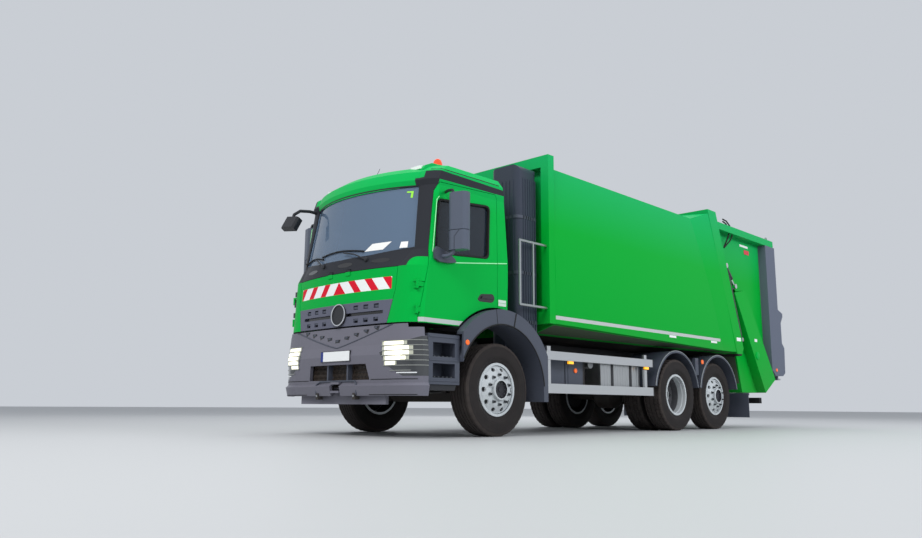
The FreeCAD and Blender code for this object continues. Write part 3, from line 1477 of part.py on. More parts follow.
def bumper_and_lamps():
    wall = mm(S.bumper_wall)
    outer = bumper_solid(0)
    hollow = bumper_solid(wall, S.bumper_bottom - S.overrun)
    behind = Part.makeBox(2 * mm(S.bumper_half_width) - 2 * wall, mm(S.overrun) * 2, mm(S.bumper_top),
                          point(-S.bumper_half_width + S.bumper_wall, S.bumper_rear - S.bumper_wall - S.seat_clearance, 0))
    skin = outer.cut([hollow, behind])
    top_cut = Part.makeBox(2 * mm(S.bumper_half_width), mm(S.bumper_rear), mm(S.overrun) * 3,
                           point(-S.bumper_half_width, S.bumper_wall * 2 + S.overrun, S.bumper_top - S.bumper_wall))
    skin = skin.cut(top_cut)
    lamp_hole = lamp_prism(0)
    right = (Vector(), Vector(1, 0, 0))
    lamp = skin.common(lamp_prism(S.seat_clearance))
    tools = [lamp_hole, lamp_hole.mirror(*right), intake_tool()]
    ears, jaw_gap = tow_jaw()
    lip = lip_solid()
    bumper = skin.cut(tools).fuse([lip]).cut(jaw_gap).fuse(ears)
    lamps = [feature("lamp_left", lamp), feature("lamp_right", lamp.mirror(*right))]
    return feature("bumper_shape", bumper), lamps


def intake_tool():
    half = S.intake_half_width
    return front_prism([(-half, S.intake_bottom), (half, S.intake_bottom), (half * 0.92, S.intake_top), (-half * 0.92, S.intake_top)],
                       (-S.overrun, S.bumper_rear))


def lip_solid():
    """The low spoiler below the bumper."""
    half = S.bumper_half_width * 0.62
    y = S.lip_inset
    return Part.makeBox(2 * mm(half), mm(S.bumper_wall), mm(S.bumper_bottom - S.lip_bottom + S.bumper_wall),
                        point(-half, y, S.lip_bottom))


TOW_HEIGHT = S.bumper_step - S.tow_gap * 0.2


def tow_jaw():
    """Two ears with one upright bore, let into the bumper."""
    half = S.tow_width / 2
    low = TOW_HEIGHT - S.tow_gap / 2 - S.tow_ear
    front = S.bumper_wall * 0.25
    whole_height = mm(S.tow_gap + S.tow_ear * 2)
    floor = S.bumper_bottom - S.overrun
    top = low + S.tow_gap + S.tow_ear * 2 + S.overrun * 0.2
    pocket = Part.makeBox(mm(S.tow_width + S.overrun * 0.4), mm(S.bumper_rear) * 0.5, mm(top - floor),
                          point(-half - S.overrun * 0.2, -S.overrun, floor))
    ears = []
    bore = Part.makeCylinder(mm(S.tow_pin_radius), whole_height * 3, point(0, front + half * 0.7, low - S.overrun), Vector(0, 0, 1))
    for z in (low, low + S.tow_ear + S.tow_gap):
        plate = Part.makeBox(mm(S.tow_width), mm(S.tow_reach), mm(S.tow_ear), point(-half, front, z))
        ears.append(plate.cut(bore))
    back_y = front + S.tow_reach
    back = Part.makeBox(mm(S.tow_width), mm(S.bumper_wall + S.tow_reach - back_y), whole_height, point(-half, back_y, low))
    side_bar = Part.makeBox(mm(S.tow_width) * 2.4, mm(S.bumper_wall + S.tow_reach - back_y), whole_height * 0.5,
                            point(-S.tow_width * 1.2, back_y, low))
    return ears + [back, side_bar], pocket


def fender_left():
    """Arch sheet, outer face plate and rear drop, with the entry steps in front."""
    centre = Vector(0, mm(FRONT_AXLE), mm(AXLE_HEIGHT))
    axis = Vector(1, 0, 0)

    def drum(radius, x_span):
        start = Vector(mm(x_span[0]), centre.y, centre.z)
        return Part.makeCylinder(mm(radius), mm(x_span[1]) - mm(x_span[0]), start, axis)

    whole = (S.fender_inner, S.fender_outer)
    plate = (S.fender_outer - S.fender_plate, S.fender_outer)
    rear = FRONT_AXLE + S.fender_rear_reach
    arch_out = drum(S.arch_radius + S.fender_sheet, whole)
    face_out = drum(S.fender_radius, (plate[0], plate[1]))
    top_out = drum(S.fender_radius, (S.fender_outer - S.fender_plate * 4, S.fender_outer)).cut(
        drum(S.fender_radius - S.fender_sheet, (S.fender_outer - S.fender_plate * 5, S.fender_outer)))
    low_box = Part.makeBox(mm(whole[1] - whole[0]), mm(S.fender_radius) * 2, mm(AXLE_HEIGHT) - mm(S.fender_low),
                           point(whole[0], FRONT_AXLE - S.fender_radius, S.fender_low))
    drop = Part.makeBox(mm(whole[1] - whole[0]), mm(rear - FRONT_AXLE - S.arch_radius), mm(AXLE_HEIGHT - S.fender_low),
                        point(whole[0], FRONT_AXLE + S.arch_radius, S.fender_low))
    solid = arch_out.fuse([face_out, top_out])
    above = Part.makeBox(mm(S.fender_outer), mm(rear - S.step_rear), mm(S.fender_radius) + mm(S.overrun),
                         point(0, S.step_rear, AXLE_HEIGHT))
    solid = solid.common(above).fuse(drop)
    solid = solid.cut(drum(S.arch_radius, (0, S.fender_outer + S.overrun)))
    solid = solid.cut(low_box.cut(drop))
    step = entry_step()
    arms = fender_arms(rear)
    return feature("fender_shape", solid.fuse([step] + arms))


def fender_arms(rear):
    arm = mm(S.mudguard_arm)
    front_arm = Part.makeBox(mm(S.step_inner - FRAME_HALF), arm, arm, point(FRAME_HALF, S.step_rear - S.overrun * 2, S.frame_bottom + S.overrun))
    rear_arm = Part.makeBox(mm(S.fender_inner + S.fender_sheet - FRAME_HALF), arm, arm,
                            point(FRAME_HALF, rear - S.mudguard_arm, AXLE_HEIGHT - S.overrun))
    riser = Part.makeBox(arm, arm, mm(S.frame_bottom + S.overrun - AXLE_HEIGHT + S.overrun),
                         point(FRAME_HALF, rear - S.mudguard_arm, AXLE_HEIGHT - S.overrun))
    return [front_arm, rear_arm, riser]


def entry_step():
    """The dark step box under the door with two wells for the feet."""
    front = S.bumper_rear + S.seat_clearance
    box = Part.makeBox(mm(S.step_outer - S.step_inner), mm(S.step_rear - front), mm(S.step_top - S.step_bottom),
                       point(S.step_inner, front, S.step_bottom))
    wells = []
    for low in (S.step_bottom + S.step_margin, S.step_bottom + S.step_margin * 2 + S.step_well_height):
        wells.append(Part.makeBox(mm(S.step_well_depth) + mm(S.overrun), mm(S.step_rear - front - S.step_margin * 2), mm(S.step_well_height),
                                  point(S.step_outer - S.step_well_depth, front + S.step_margin, low)))
    return box.cut(wells)


def front_end():
    bumper, lamps = bumper_and_lamps()
    node("front_bumper", [bumper])
    node("headlamps", lamps)
    fender = fender_left()
    node("front_fenders", both_sides([fender]))


# Intake tower, exhaust stack and grab rail

def tower():
    size = (S.tower_outer - S.tower_inner, S.tower_rear - S.tower_front, S.tower_top - FRAME_TOP)
    box = Part.makeBox(*[mm(value) for value in size], point(S.tower_inner, S.tower_front, FRAME_TOP))
    height = mm(size[2])
    depth = mm(size[1])

    def chosen(edge):
        direction = edge.Vertexes[-1].Point - edge.Vertexes[0].Point
        upright = abs(abs(direction.z) - height) < 1e-3
        across = abs(abs(direction.y) - depth) < 1e-3 and edge.CenterOfMass.z > mm(S.tower_top) - 1
        return upright or across

    body = rounded(box, mm(S.tower_corner), chosen)
    around = Part.makeCylinder(mm(S.arch_radius + S.fender_sheet + S.running_clearance), mm(S.tower_outer),
                               point(S.fender_inner - S.running_clearance, FRONT_AXLE, AXLE_HEIGHT), Vector(1, 0, 0))
    body = body.cut(around)
    foot = Part.makeBox(mm(S.tower_inner + S.tower_corner * 2 - FRAME_HALF + S.frame_flange), mm(S.overrun), mm(S.overrun),
                        point(FRAME_HALF - S.frame_flange, S.tower_rear - S.overrun * 3, FRAME_TOP))
    reach = (FRAME_HALF - S.frame_flange, S.stack_radius * 2 + FRAME_HALF)
    stack = Part.makeCylinder(mm(S.stack_radius), mm(S.tower_top - FRAME_TOP), point(-reach[1], S.tower_rear - S.stack_radius * 1.5, FRAME_TOP))
    stack_foot = Part.makeBox(mm(reach[1] - reach[0]), mm(S.overrun), mm(S.overrun),
                              point(-reach[1], S.tower_rear - S.stack_radius * 2, FRAME_TOP))
    return [feature("intake_tower_shape", body.fuse(foot)), feature("exhaust_stack", stack.fuse(stack_foot))]


def grab_rail():
    x = S.rail_offset
    rear = S.flange_front
    corners = [point(x, rear, S.rail_top), point(x, S.rail_front, S.rail_top), point(x, S.rail_front, S.rail_bottom), point(x, rear, S.rail_bottom)]
    middle = (S.rail_front + rear) / 2
    inner_bar = pipe([point(x, middle, S.rail_top), point(x, middle, S.rail_bottom)], mm(S.rail_radius) * 0.8)
    return feature("grab_rail_shape", pipe(corners, mm(S.rail_radius)).fuse(inner_bar))


def behind_cab():
    node("intake_tower", tower())
    node("grab_rail", [grab_rail()])


# Body

HINGE_HEIGHT = S.post_top - S.hinge_drop


def slope_at(level, top_station, top_level, run, drop):
    """The station of a sloped plane at one level."""
    return top_station + (top_level - level) * (mm(run) / mm(drop))


def crease_station(level):
    return slope_at(level, S.crease_top_station, S.body_shoulder, S.crease_slope_run, S.crease_slope_drop)


def post_front(level):
    run = S.post_foot_front - S.post_top_front
    drop = S.post_top - S.post_foot
    return slope_at(level, S.post_top_front, S.post_top, run, drop)


def post_rear(level):
    return slope_at(level, S.post_top_rear, S.post_top, S.post_slope_run, S.post_slope_drop)


def body_wire(station_of, half, shoulder_half, shoulder, roof, edge_half, edge, floor_half, floor, inset):
    """A cross section with bowed sides and roof; each point lies on a sloped plane."""
    def at(x, z):
        return Vector(mm(x), mm(station_of(z)), mm(z))

    low_side = (edge_half - inset, edge)
    bulge = (half - inset, (edge + shoulder) / 2)
    top_side = (shoulder_half - inset, shoulder)
    low = [at(floor_half - inset / 2, floor + inset), at(*low_side), at(*bulge), at(*top_side)]
    mirrored_points = [Vector(-p.x, p.y, p.z) for p in low]
    roof_mid = at(0, roof - inset)
    return Part.Wire([
        Part.makeLine(low[0], low[1]),
        Part.Arc(low[1], low[2], low[3]).toShape(),
        Part.Arc(low[3], roof_mid, mirrored_points[3]).toShape(),
        Part.Arc(mirrored_points[3], mirrored_points[2], mirrored_points[1]).toShape(),
        Part.makeLine(mirrored_points[1], mirrored_points[0]),
        Part.makeLine(mirrored_points[0], low[0]),
    ])


def body_form(inset, front):
    """The long bowed box from the front flange to the crease, then flared to the posts."""
    def section(station_of, edge, half, shoulder_half, shoulder, roof, edge_half):
        return body_wire(station_of, half, shoulder_half, shoulder, roof, edge_half, edge,
                         S.body_floor_half, S.body_floor, inset)

    plain = (S.body_half_width, S.body_shoulder_half, S.body_shoulder, S.body_roof, S.body_edge_half)
    side = S.post_half_width - S.gate_gap
    flare = (S.post_half_width, side, S.post_top - S.post_beam * 0.5, S.post_top, side)
    first = section(lambda z: front, S.body_edge_front, *plain)
    crease = section(crease_station, S.body_edge_rear, *plain)
    last = section(post_front, S.body_edge_rear, *flare)
    if inset:
        side = S.post_inner + inset - S.gate_gap
        last = section(post_front, S.body_edge_rear, S.post_inner + inset, side, S.body_shoulder, S.body_roof, side)
    main = Part.makeLoft([first, crease], True, True)
    flank = Part.makeLoft([crease, last], True, True)
    return main, flank


def body_shell():
    main, flank = body_form(0, S.body_front)
    inner_main, inner_flank = body_form(mm(S.body_wall), S.body_front + S.body_wall)
    return main.fuse(flank).cut([inner_main, inner_flank])


def front_flange():
    depth = (S.flange_front, S.body_front)
    half = S.body_half_width
    frame = front_prism([(-half, S.flange_bottom), (half, S.flange_bottom), (half, S.flange_top), (-half, S.flange_top)], depth)
    window = front_prism([(-S.flange_inner_half, S.flange_bottom + S.flange_sill), (S.flange_inner_half, S.flange_bottom + S.flange_sill),
                          (S.flange_inner_half, S.flange_top - S.flange_sill), (-S.flange_inner_half, S.flange_top - S.flange_sill)], depth)
    frame = frame.cut(window)
    leg_top = S.flange_bottom
    legs = [Part.makeBox(mm(S.subframe_width), mm(depth[1] - depth[0]) - mm(S.subframe_front - S.flange_front), mm(leg_top - FRAME_TOP - S.subframe_height),
                         point(x, S.subframe_front, FRAME_TOP + S.subframe_height))
            for x in (FRAME_HALF - S.subframe_width, -FRAME_HALF)]
    return frame.fuse(legs)


def rear_posts():
    """Two sloped posts and the beam over the opening, with slots for the hinge arms."""
    outline = [
        (S.post_top_front, S.post_top), (S.post_top_rear, S.post_top), (post_rear(S.post_low), S.post_low),
        (S.post_foot_rear, S.post_foot), (S.post_foot_front, S.post_foot),
    ]
    post = fleshed(outline, (S.post_inner, S.post_half_width))
    beam_low = S.post_top - S.post_beam
    beam_outline = [(post_front(S.post_top), S.post_top), (post_rear(S.post_top), S.post_top),
                    (post_rear(beam_low), beam_low), (post_front(beam_low), beam_low)]
    beam = fleshed(beam_outline, (-S.post_inner, S.post_inner))
    sill_top = S.body_floor + S.body_wall
    sill_rear = post_rear(S.post_low) - S.overrun
    sill_outline = [(post_front(S.post_foot), S.post_foot), (S.post_foot_rear, S.post_foot), (S.post_foot_rear, sill_top + S.body_wall), (post_front(sill_top + S.body_wall), sill_top + S.body_wall)]
    sill = fleshed(sill_outline, (-S.post_inner, S.post_inner))
    right = (Vector(), Vector(1, 0, 0))
    lug = lift_foot_lug()
    solid = post.fuse([post.mirror(*right), beam, sill, lug, lug.mirror(*right)])
    slots = []
    for side in (1, -1):
        x = S.hinge_arm_inner - S.running_clearance if side > 0 else -S.hinge_arm_inner - S.hinge_arm_width - S.running_clearance
        slots.append(Part.makeBox(mm(S.hinge_arm_width + S.running_clearance * 2), mm(S.post_top_rear - S.hinge_station + S.overrun * 3), mm(S.post_beam) * 2,
                                  point(x, S.hinge_station - S.overrun, beam_low - S.running_clearance)))
    solid = solid.cut(slots)
    pins = []
    for side in (1, -1):
        x = S.hinge_arm_inner - S.overrun if side > 0 else -S.hinge_arm_inner - S.hinge_arm_width - S.overrun
        pins.append(Part.makeCylinder(mm(S.hinge_radius) * 0.6, mm(S.hinge_arm_width + S.overrun * 2), point(x, S.hinge_station, HINGE_HEIGHT), Vector(1, 0, 0)))
    return solid.fuse(pins)


def lift_foot_lug():
    """The plate behind the post that carries the lift cylinder's foot and its pin."""
    y, z = S.lift_foot_station, S.lift_foot_height
    x0 = S.post_inner
    x1 = S.lift_layer - S.cylinder_half_width - S.seat_clearance
    arm = fleshed([(post_rear(z + S.cylinder_eye) - S.cylinder_pin, z + S.cylinder_eye), (y, z + S.cylinder_eye),
                   (y, z - S.cylinder_eye), (post_rear(z - S.cylinder_eye) - S.cylinder_pin, z - S.cylinder_eye)], (x0, x1))
    eye = Part.makeCylinder(mm(S.cylinder_eye), mm(x1 - x0), point(x0, y, z), Vector(1, 0, 0))
    pin_end = S.lift_layer + S.cylinder_half_width
    pin = Part.makeCylinder(mm(S.cylinder_pin), mm(pin_end - x0), point(x0, y, z), Vector(1, 0, 0))
    return arm.fuse([eye, pin])


def ejector():
    """The push plate inside the body, upright across its whole section."""
    inset = mm(S.body_wall + S.running_clearance * 3)
    half = S.post_inner - S.running_clearance * 3
    low = S.body_floor + S.body_wall + S.running_clearance * 6
    outline = [(-half, S.body_edge_front + S.body_wall), (-S.body_floor_half + S.body_wall, low), (S.body_floor_half - S.body_wall, low),
               (half, S.body_edge_front + S.body_wall), (half, S.body_shoulder - S.body_wall * 2), (-half, S.body_shoulder - S.body_wall * 2)]
    depth = (S.ejector_station, S.ejector_station + S.ejector_thickness)
    plate = prism("ejector", "y", outline, depth)
    shoe_half = S.body_floor_half * 0.6
    shoe = block("ejector_shoe", (shoe_half, shoe_half + S.subframe_width), depth, (S.body_floor + S.body_wall + S.seat_clearance, low + S.overrun))
    return fused("ejector_whole", [plate] + both_sides([shoe]))


def body():
    node("body_shell", [feature("body_shell_shape", body_shell())])
    node("body_frames", [feature("front_flange_shape", front_flange()), feature("rear_posts_shape", rear_posts())])
    node("ejector_plate", [ejector()])


# Tailgate

def slide_point(along, across=0):
    """A place beside the compactor's slide, as distances along it and square to it."""
    length = math.hypot(mm(S.slide_run), mm(S.slide_drop))
    down = (mm(S.slide_run) / length, -mm(S.slide_drop) / length)
    out = (-down[1], down[0])
    y = S.slide_station + along * down[0] + across * out[0]
    z = S.slide_height + along * down[1] + across * out[1]
    return y, z


def gate_front(level):
    return post_rear(level) + S.gate_gap


def gate_outline(inset=0):
    """The tailgate's side, from the hinge corner round by the trough to the lower front."""
    return [
        (gate_front(S.gate_top), S.gate_top), (S.gate_top_rear, S.gate_top),
        (S.sill_station, S.gate_top - S.gate_rail_height), (S.sill_station, S.sill_height),
        (S.trough_bend, S.trough_bend_height), (S.trough_rear, S.trough_bottom),
        (S.trough_front, S.trough_bottom), (gate_front(S.gate_lip_height), S.gate_lip_height),
    ]


def trough():
    """The bent plate that the bins are emptied into."""
    wall = mm(S.trough_wall)
    path = [(gate_front(S.gate_lip_height), S.gate_lip_height), (S.trough_front, S.trough_bottom),
            (S.trough_rear, S.trough_bottom), (S.trough_bend, S.trough_bend_height), (S.sill_station, S.sill_height)]
    outer = [point(0, y, z) for y, z in path]
    inner = []
    for index, corner in enumerate(outer):
        before = outer[index] - outer[index - 1] if index else outer[1] - outer[0]
        after = outer[index + 1] - outer[index] if index + 1 < len(outer) else before
        first = Vector(0, -before.z, before.y).normalize()
        second = Vector(0, -after.z, after.y).normalize()
        middle = (first + second).normalize()
        inner.append(corner + middle * (wall / middle.dot(first)))
    ring = outer + inner[::-1]
    face = Part.Face(Part.makePolygon(ring + ring[:1]))
    face.translate(Vector(-mm(S.gate_side - S.gate_wall), 0, 0))
    return face.extrude(Vector(2 * mm(S.gate_side - S.gate_wall), 0, 0))


def guide_box():
    """The sloped channel beside the compactor's slide, open at its top end."""
    rear = (S.guide_top_rear, S.guide_top_height + S.guide_top_rise)
    foot_front = (S.trough_rear, S.trough_bottom)
    foot_rear = (S.trough_bend, S.trough_bend_height)
    head = (S.guide_top_front, S.guide_top_height)
    outer = fleshed([head, rear, foot_rear, foot_front], (S.gate_side, S.guide_outer))
    plate = mm(S.guide_plate)
    length = math.hypot(mm(S.slide_run), mm(S.slide_drop))
    down = (mm(S.slide_run) / length, -mm(S.slide_drop) / length)
    out = (-down[1], down[0])

    def shifted(corner, across, along):
        return (corner[0] + across * out[0] + along * down[0], corner[1] + across * out[1] + along * down[1])

    over = mm(S.overrun)
    hollow = fleshed([shifted(head, plate, -over), shifted(rear, -plate, -over), shifted(foot_rear, -plate, -plate * 3),
                      shifted(foot_front, plate, -plate * 3)], (S.gate_side, S.guide_outer - S.guide_plate))
    return outer.cut(hollow)


def slide_slot():
    """The slot in the side wall that the carriage lug moves along."""
    reach = S.lug_radius + S.running_clearance * 2
    start, end = -S.overrun - S.lug_radius * 2.2, S.carriage_travel + S.lug_radius
    lug_across = lug_offset()[1]
    corners = [slide_point(start, lug_across - reach), slide_point(end, lug_across - reach),
               slide_point(end, lug_across + reach), slide_point(start, lug_across + reach)]
    return fleshed(corners, (S.gate_side - S.gate_wall - S.overrun, S.gate_side))


def lug_offset():
    """The lug's place along and across the slide."""
    length = math.hypot(mm(S.slide_run), mm(S.slide_drop))
    down = (mm(S.slide_run) / length, -mm(S.slide_drop) / length)
    y = S.lug_station - S.slide_station
    z = S.lug_height - S.slide_height
    return y * down[0] + z * down[1], y * -down[1] + z * down[0]


def tailgate_shell():
    side = fleshed(gate_outline(), (S.gate_side - S.gate_wall, S.gate_side))
    side = side.cut(slide_slot())
    rail_low = S.gate_top - S.gate_rail_height
    rail = fleshed([(gate_front(S.gate_top), S.gate_top), (S.gate_top_rear, S.gate_top),
                    (S.gate_top_rear, rail_low), (gate_front(rail_low), rail_low)], (S.gate_side, S.gate_rail_half))
    left = [side, rail, hinge_arm_shape()]
    right = [item.mirror(Vector(), Vector(1, 0, 0)) for item in left]
    inner = S.gate_side - S.gate_wall
    roof = fleshed([(gate_front(S.gate_top), S.gate_top), (S.gate_top_rear, S.gate_top), (S.gate_top_rear, S.gate_top - S.gate_wall * 2), (gate_front(S.gate_top - S.gate_wall * 2), S.gate_top - S.gate_wall * 2)],
                   (-inner, inner))
    cover = fleshed([(S.gate_top_rear - S.gate_wall, S.gate_top), (S.gate_top_rear, S.gate_top), (S.sill_station, rail_low), (S.sill_station, S.cover_bottom), (S.sill_station - S.gate_wall, S.cover_bottom), (S.sill_station - S.gate_wall, rail_low)],
                    (-inner, inner))
    shell = left[0].fuse(left[1:] + right + [roof, cover, trough(), underrun()])
    return shell


def slide_guide():
    """The left channel, the boss for the lift rod and the pin of the packer's barrel."""
    boss_end = S.lift_layer - S.cylinder_half_width - S.seat_clearance
    boss = Part.makeCylinder(mm(S.cylinder_eye) * 0.9, mm(boss_end - S.gate_side),
                             point(S.gate_side, S.lift_top_station, S.lift_top_height), Vector(1, 0, 0))
    pin_end = S.packer_layer + S.cylinder_half_width
    pin = Part.makeCylinder(mm(S.cylinder_pin), mm(pin_end - S.gate_side),
                            point(S.gate_side, S.packer_top_station, S.packer_top_height), Vector(1, 0, 0))
    return feature("slide_guide_shape", guide_box().fuse([boss, pin]))


def hinge_arm_shape():
    x0 = S.hinge_arm_inner
    y, z = S.hinge_station, HINGE_HEIGHT
    top = S.gate_top - S.gate_wall * 0.5
    arm = fleshed([(y, z + S.hinge_radius), (gate_front(S.gate_top) + S.overrun * 3, S.gate_top), (gate_front(S.gate_top) + S.overrun * 3, S.gate_top - S.gate_wall * 2),
                   (gate_front(S.gate_top - S.gate_wall * 2), S.gate_top - S.gate_wall * 2), (y, z - S.hinge_radius)], (x0, x0 + S.hinge_arm_width))
    eye = Part.makeCylinder(mm(S.hinge_radius), mm(S.hinge_arm_width), point(x0, y, z), Vector(1, 0, 0))
    bore = Part.makeCylinder(mm(S.hinge_radius) * 0.6 + mm(S.seat_clearance), mm(S.hinge_arm_width) * 2, point(x0 - S.overrun / 2, y, z), Vector(1, 0, 0))
    return arm.fuse(eye).cut(bore)


def underrun():
    """The low bar under the trough with two legs."""
    half = S.gate_side
    size = mm(S.underrun_size)
    bar = Part.makeBox(2 * mm(half), size, size, point(-half, S.underrun_station, S.underrun_height))
    legs = []
    for side in (1, -1):
        x = side * S.spring_track - (S.underrun_size if side > 0 else 0)
        legs.append(Part.makeBox(size, size, mm(S.trough_bottom - S.underrun_height + S.trough_wall * 2), point(x, S.underrun_station, S.underrun_height)))
    return bar.fuse(legs)


def rear_columns():
    """The dark columns beside the opening, with the brackets of the riding steps."""
    shelf = S.column_shelf
    top = S.gate_top - S.gate_rail_height - S.seat_clearance
    outline = [
        (S.column_front, top), (S.column_rear, top), (S.column_rear, shelf),
        (S.column_shelf_rear, shelf - S.overrun), (S.column_shelf_rear, shelf - S.overrun * 2),
        (S.column_rear + S.overrun * 1.6, shelf - S.overrun * 4), (S.column_rear + S.overrun * 1.6, S.sill_height + S.overrun * 3),
        (S.column_shelf_rear, S.sill_height + S.overrun * 1.5), (S.column_shelf_rear - S.overrun * 0.5, S.column_bottom + S.overrun),
        (S.column_rear + S.overrun, S.column_bottom), (S.column_front + S.overrun * 2.4, S.column_bottom),
        (S.column_front, S.column_bottom + S.overrun * 1.6),
    ]
    column = fleshed(outline, (S.gate_side, S.column_outer))
    bracket_low = S.ride_height - S.ride_hinge_radius * 1.5
    bracket = Part.makeBox(mm(S.ride_bracket), mm(S.ride_bracket), mm(S.column_bottom - bracket_low),
                           point(S.ride_outer + S.seat_clearance, S.ride_front - S.ride_bracket / 2, bracket_low))
    left = column.fuse(bracket)
    return [feature("rear_column", left)]


def carriage():
    """The sliding plate of the compactor, its hinge knuckles and the side lugs."""
    half = S.carriage_half_width
    thick = S.carriage_thickness / 2
    corners = [slide_point(-S.carriage_above, -thick), slide_point(S.carriage_below, -thick), slide_point(S.carriage_below, thick), slide_point(-S.carriage_above, thick)]
    plate = fleshed(corners, (-half, half))
    y, z = S.lug_station, S.lug_height
    lug_end = S.packer_layer - S.cylinder_half_width - S.running_clearance
    lugs = []
    along, across = lug_offset()
    arm = fleshed([slide_point(along - S.lug_radius, 0), slide_point(along + S.lug_radius, 0), slide_point(along + S.lug_radius, across), slide_point(along - S.lug_radius, across)],
                  (half - S.overrun, half))
    lug = Part.makeCylinder(mm(S.lug_radius), mm(lug_end - half + S.overrun), point(half - S.overrun, y, z), Vector(1, 0, 0))
    for item in (arm, lug):
        lugs += [item, item.mirror(Vector(), Vector(1, 0, 0))]
    hinge_y, hinge_z = blade_axis()
    knuckles = []
    third = half * 0.3
    for x0, x1 in ((-half, -half + third), (half - third, half)):
        knuckle_shape = Part.makeCylinder(mm(S.blade_pivot_radius), mm(x1 - x0), point(x0, hinge_y, hinge_z), Vector(1, 0, 0))
        corners = [slide_point(S.carriage_below - thick, -thick * 0.9), slide_point(S.carriage_below + S.blade_pivot_radius * 1.2, -thick * 0.6),
                   slide_point(S.carriage_below + S.blade_pivot_radius * 1.2, thick * 0.6), slide_point(S.carriage_below - thick, thick * 0.9)]
        knuckles += [knuckle_shape, fleshed(corners, (x0, x1))]
    pin = Part.makeCylinder(mm(S.blade_pivot_radius / 3), 2 * mm(half), point(-half, hinge_y, hinge_z), Vector(1, 0, 0))
    shoe_end = S.gate_side - S.gate_wall - S.seat_clearance
    for start in (-S.carriage_above, S.carriage_below - S.lug_radius * 3):
        shoe = fleshed([slide_point(start, -thick), slide_point(start + S.lug_radius * 3, -thick),
                        slide_point(start + S.lug_radius * 3, thick), slide_point(start, thick)], (half - S.overrun, shoe_end))
        lugs += [shoe, shoe.mirror(Vector(), Vector(1, 0, 0))]
    return feature("carriage_shape", plate.fuse(lugs + knuckles + [pin]))


def blade_axis():
    return slide_point(S.carriage_below + S.blade_pivot_radius + S.running_clearance * 2)


def blade():
    """The sweeping plate, hanging straight down from the carriage."""
    half = S.carriage_half_width
    y, z = blade_axis()
    third = half * 0.3
    x = (-half + third + S.running_clearance, half - third - S.running_clearance)
    thick = S.blade_thickness / 2
    barrel = Part.makeCylinder(mm(S.blade_pivot_radius), mm(x[1] - x[0]), point(x[0], y, z), Vector(1, 0, 0))
    neck = fleshed([(y - thick, z), (y + thick, z), (y + thick, z - S.blade_pivot_radius * 2), (y - thick, z - S.blade_pivot_radius * 2)], x)
    edge = half - S.running_clearance * 2
    corners = [(y - thick, z - S.blade_pivot_radius * 1.6), (y + thick, z - S.blade_pivot_radius * 1.6),
               (y + thick * 2, z - S.blade_length), (y - thick, z - S.blade_length)]
    wide = fleshed(corners, (-edge, edge))
    bore = Part.makeCylinder(mm(S.blade_pivot_radius / 3 + S.seat_clearance), 2 * mm(half), point(-half, y, z), Vector(1, 0, 0))
    return feature("blade_shape", barrel.fuse([neck, wide]).cut(bore))


def cylinder_pair(name, layer, foot, head, barrel_length, radius, rod_radius):
    """Barrels with their eyes and rods with theirs, on both sides of the vehicle."""
    start = Vector(mm(layer), mm(foot[0]), mm(foot[1]))
    end = Vector(mm(layer), mm(head[0]), mm(head[1]))
    run = (end - start).normalize()
    half = mm(S.cylinder_half_width)
    eye_start = start - Vector(half, 0, 0)
    eye = Part.makeCylinder(mm(S.cylinder_eye), 2 * half, eye_start, Vector(1, 0, 0))
    bore = Part.makeCylinder(mm(S.cylinder_pin + S.seat_clearance), 4 * half, start - Vector(2 * half, 0, 0), Vector(1, 0, 0))
    tube = Part.makeCylinder(mm(radius), mm(barrel_length) - mm(S.cylinder_eye) * 0.6, start + run * (mm(S.cylinder_eye) * 0.6), run)
    inside = mm(rod_radius) + mm(S.seat_clearance) * 0.2
    well = Part.makeCylinder(inside, mm(barrel_length), start + run * (mm(S.cylinder_eye) * 1.6), run)
    barrel = eye.fuse(tube).cut([well, bore])
    rod_start = start + run * (mm(S.cylinder_eye) * 2)
    rod_bar = Part.makeCylinder(mm(rod_radius), (end - rod_start).Length, rod_start, run)
    rod_eye = Part.makeCylinder(mm(S.cylinder_eye), 2 * half, end - Vector(half, 0, 0), Vector(1, 0, 0))
    both = []
    for part_name, shape in (("barrel", barrel), ("rod", rod_bar.fuse(rod_eye))):
        item = feature(f"{name}_{part_name}", shape)
        both.append([item, other_side(item)])
    return both


def cylinders():
    lift = cylinder_pair("lift", S.lift_layer, (S.lift_foot_station, S.lift_foot_height), (S.lift_top_station, S.lift_top_height),
                         S.lift_barrel_length, S.lift_radius, S.lift_rod_radius)
    node("lift_barrels", lift[0])
    node("lift_rods", lift[1])
    packer = cylinder_pair("packer", S.packer_layer, (S.packer_top_station, S.packer_top_height), (S.lug_station, S.lug_height),
                           S.packer_barrel_length, S.packer_radius, S.packer_rod_radius)
    node("packer_barrels", packer[0])
    node("packer_rods", packer[1])


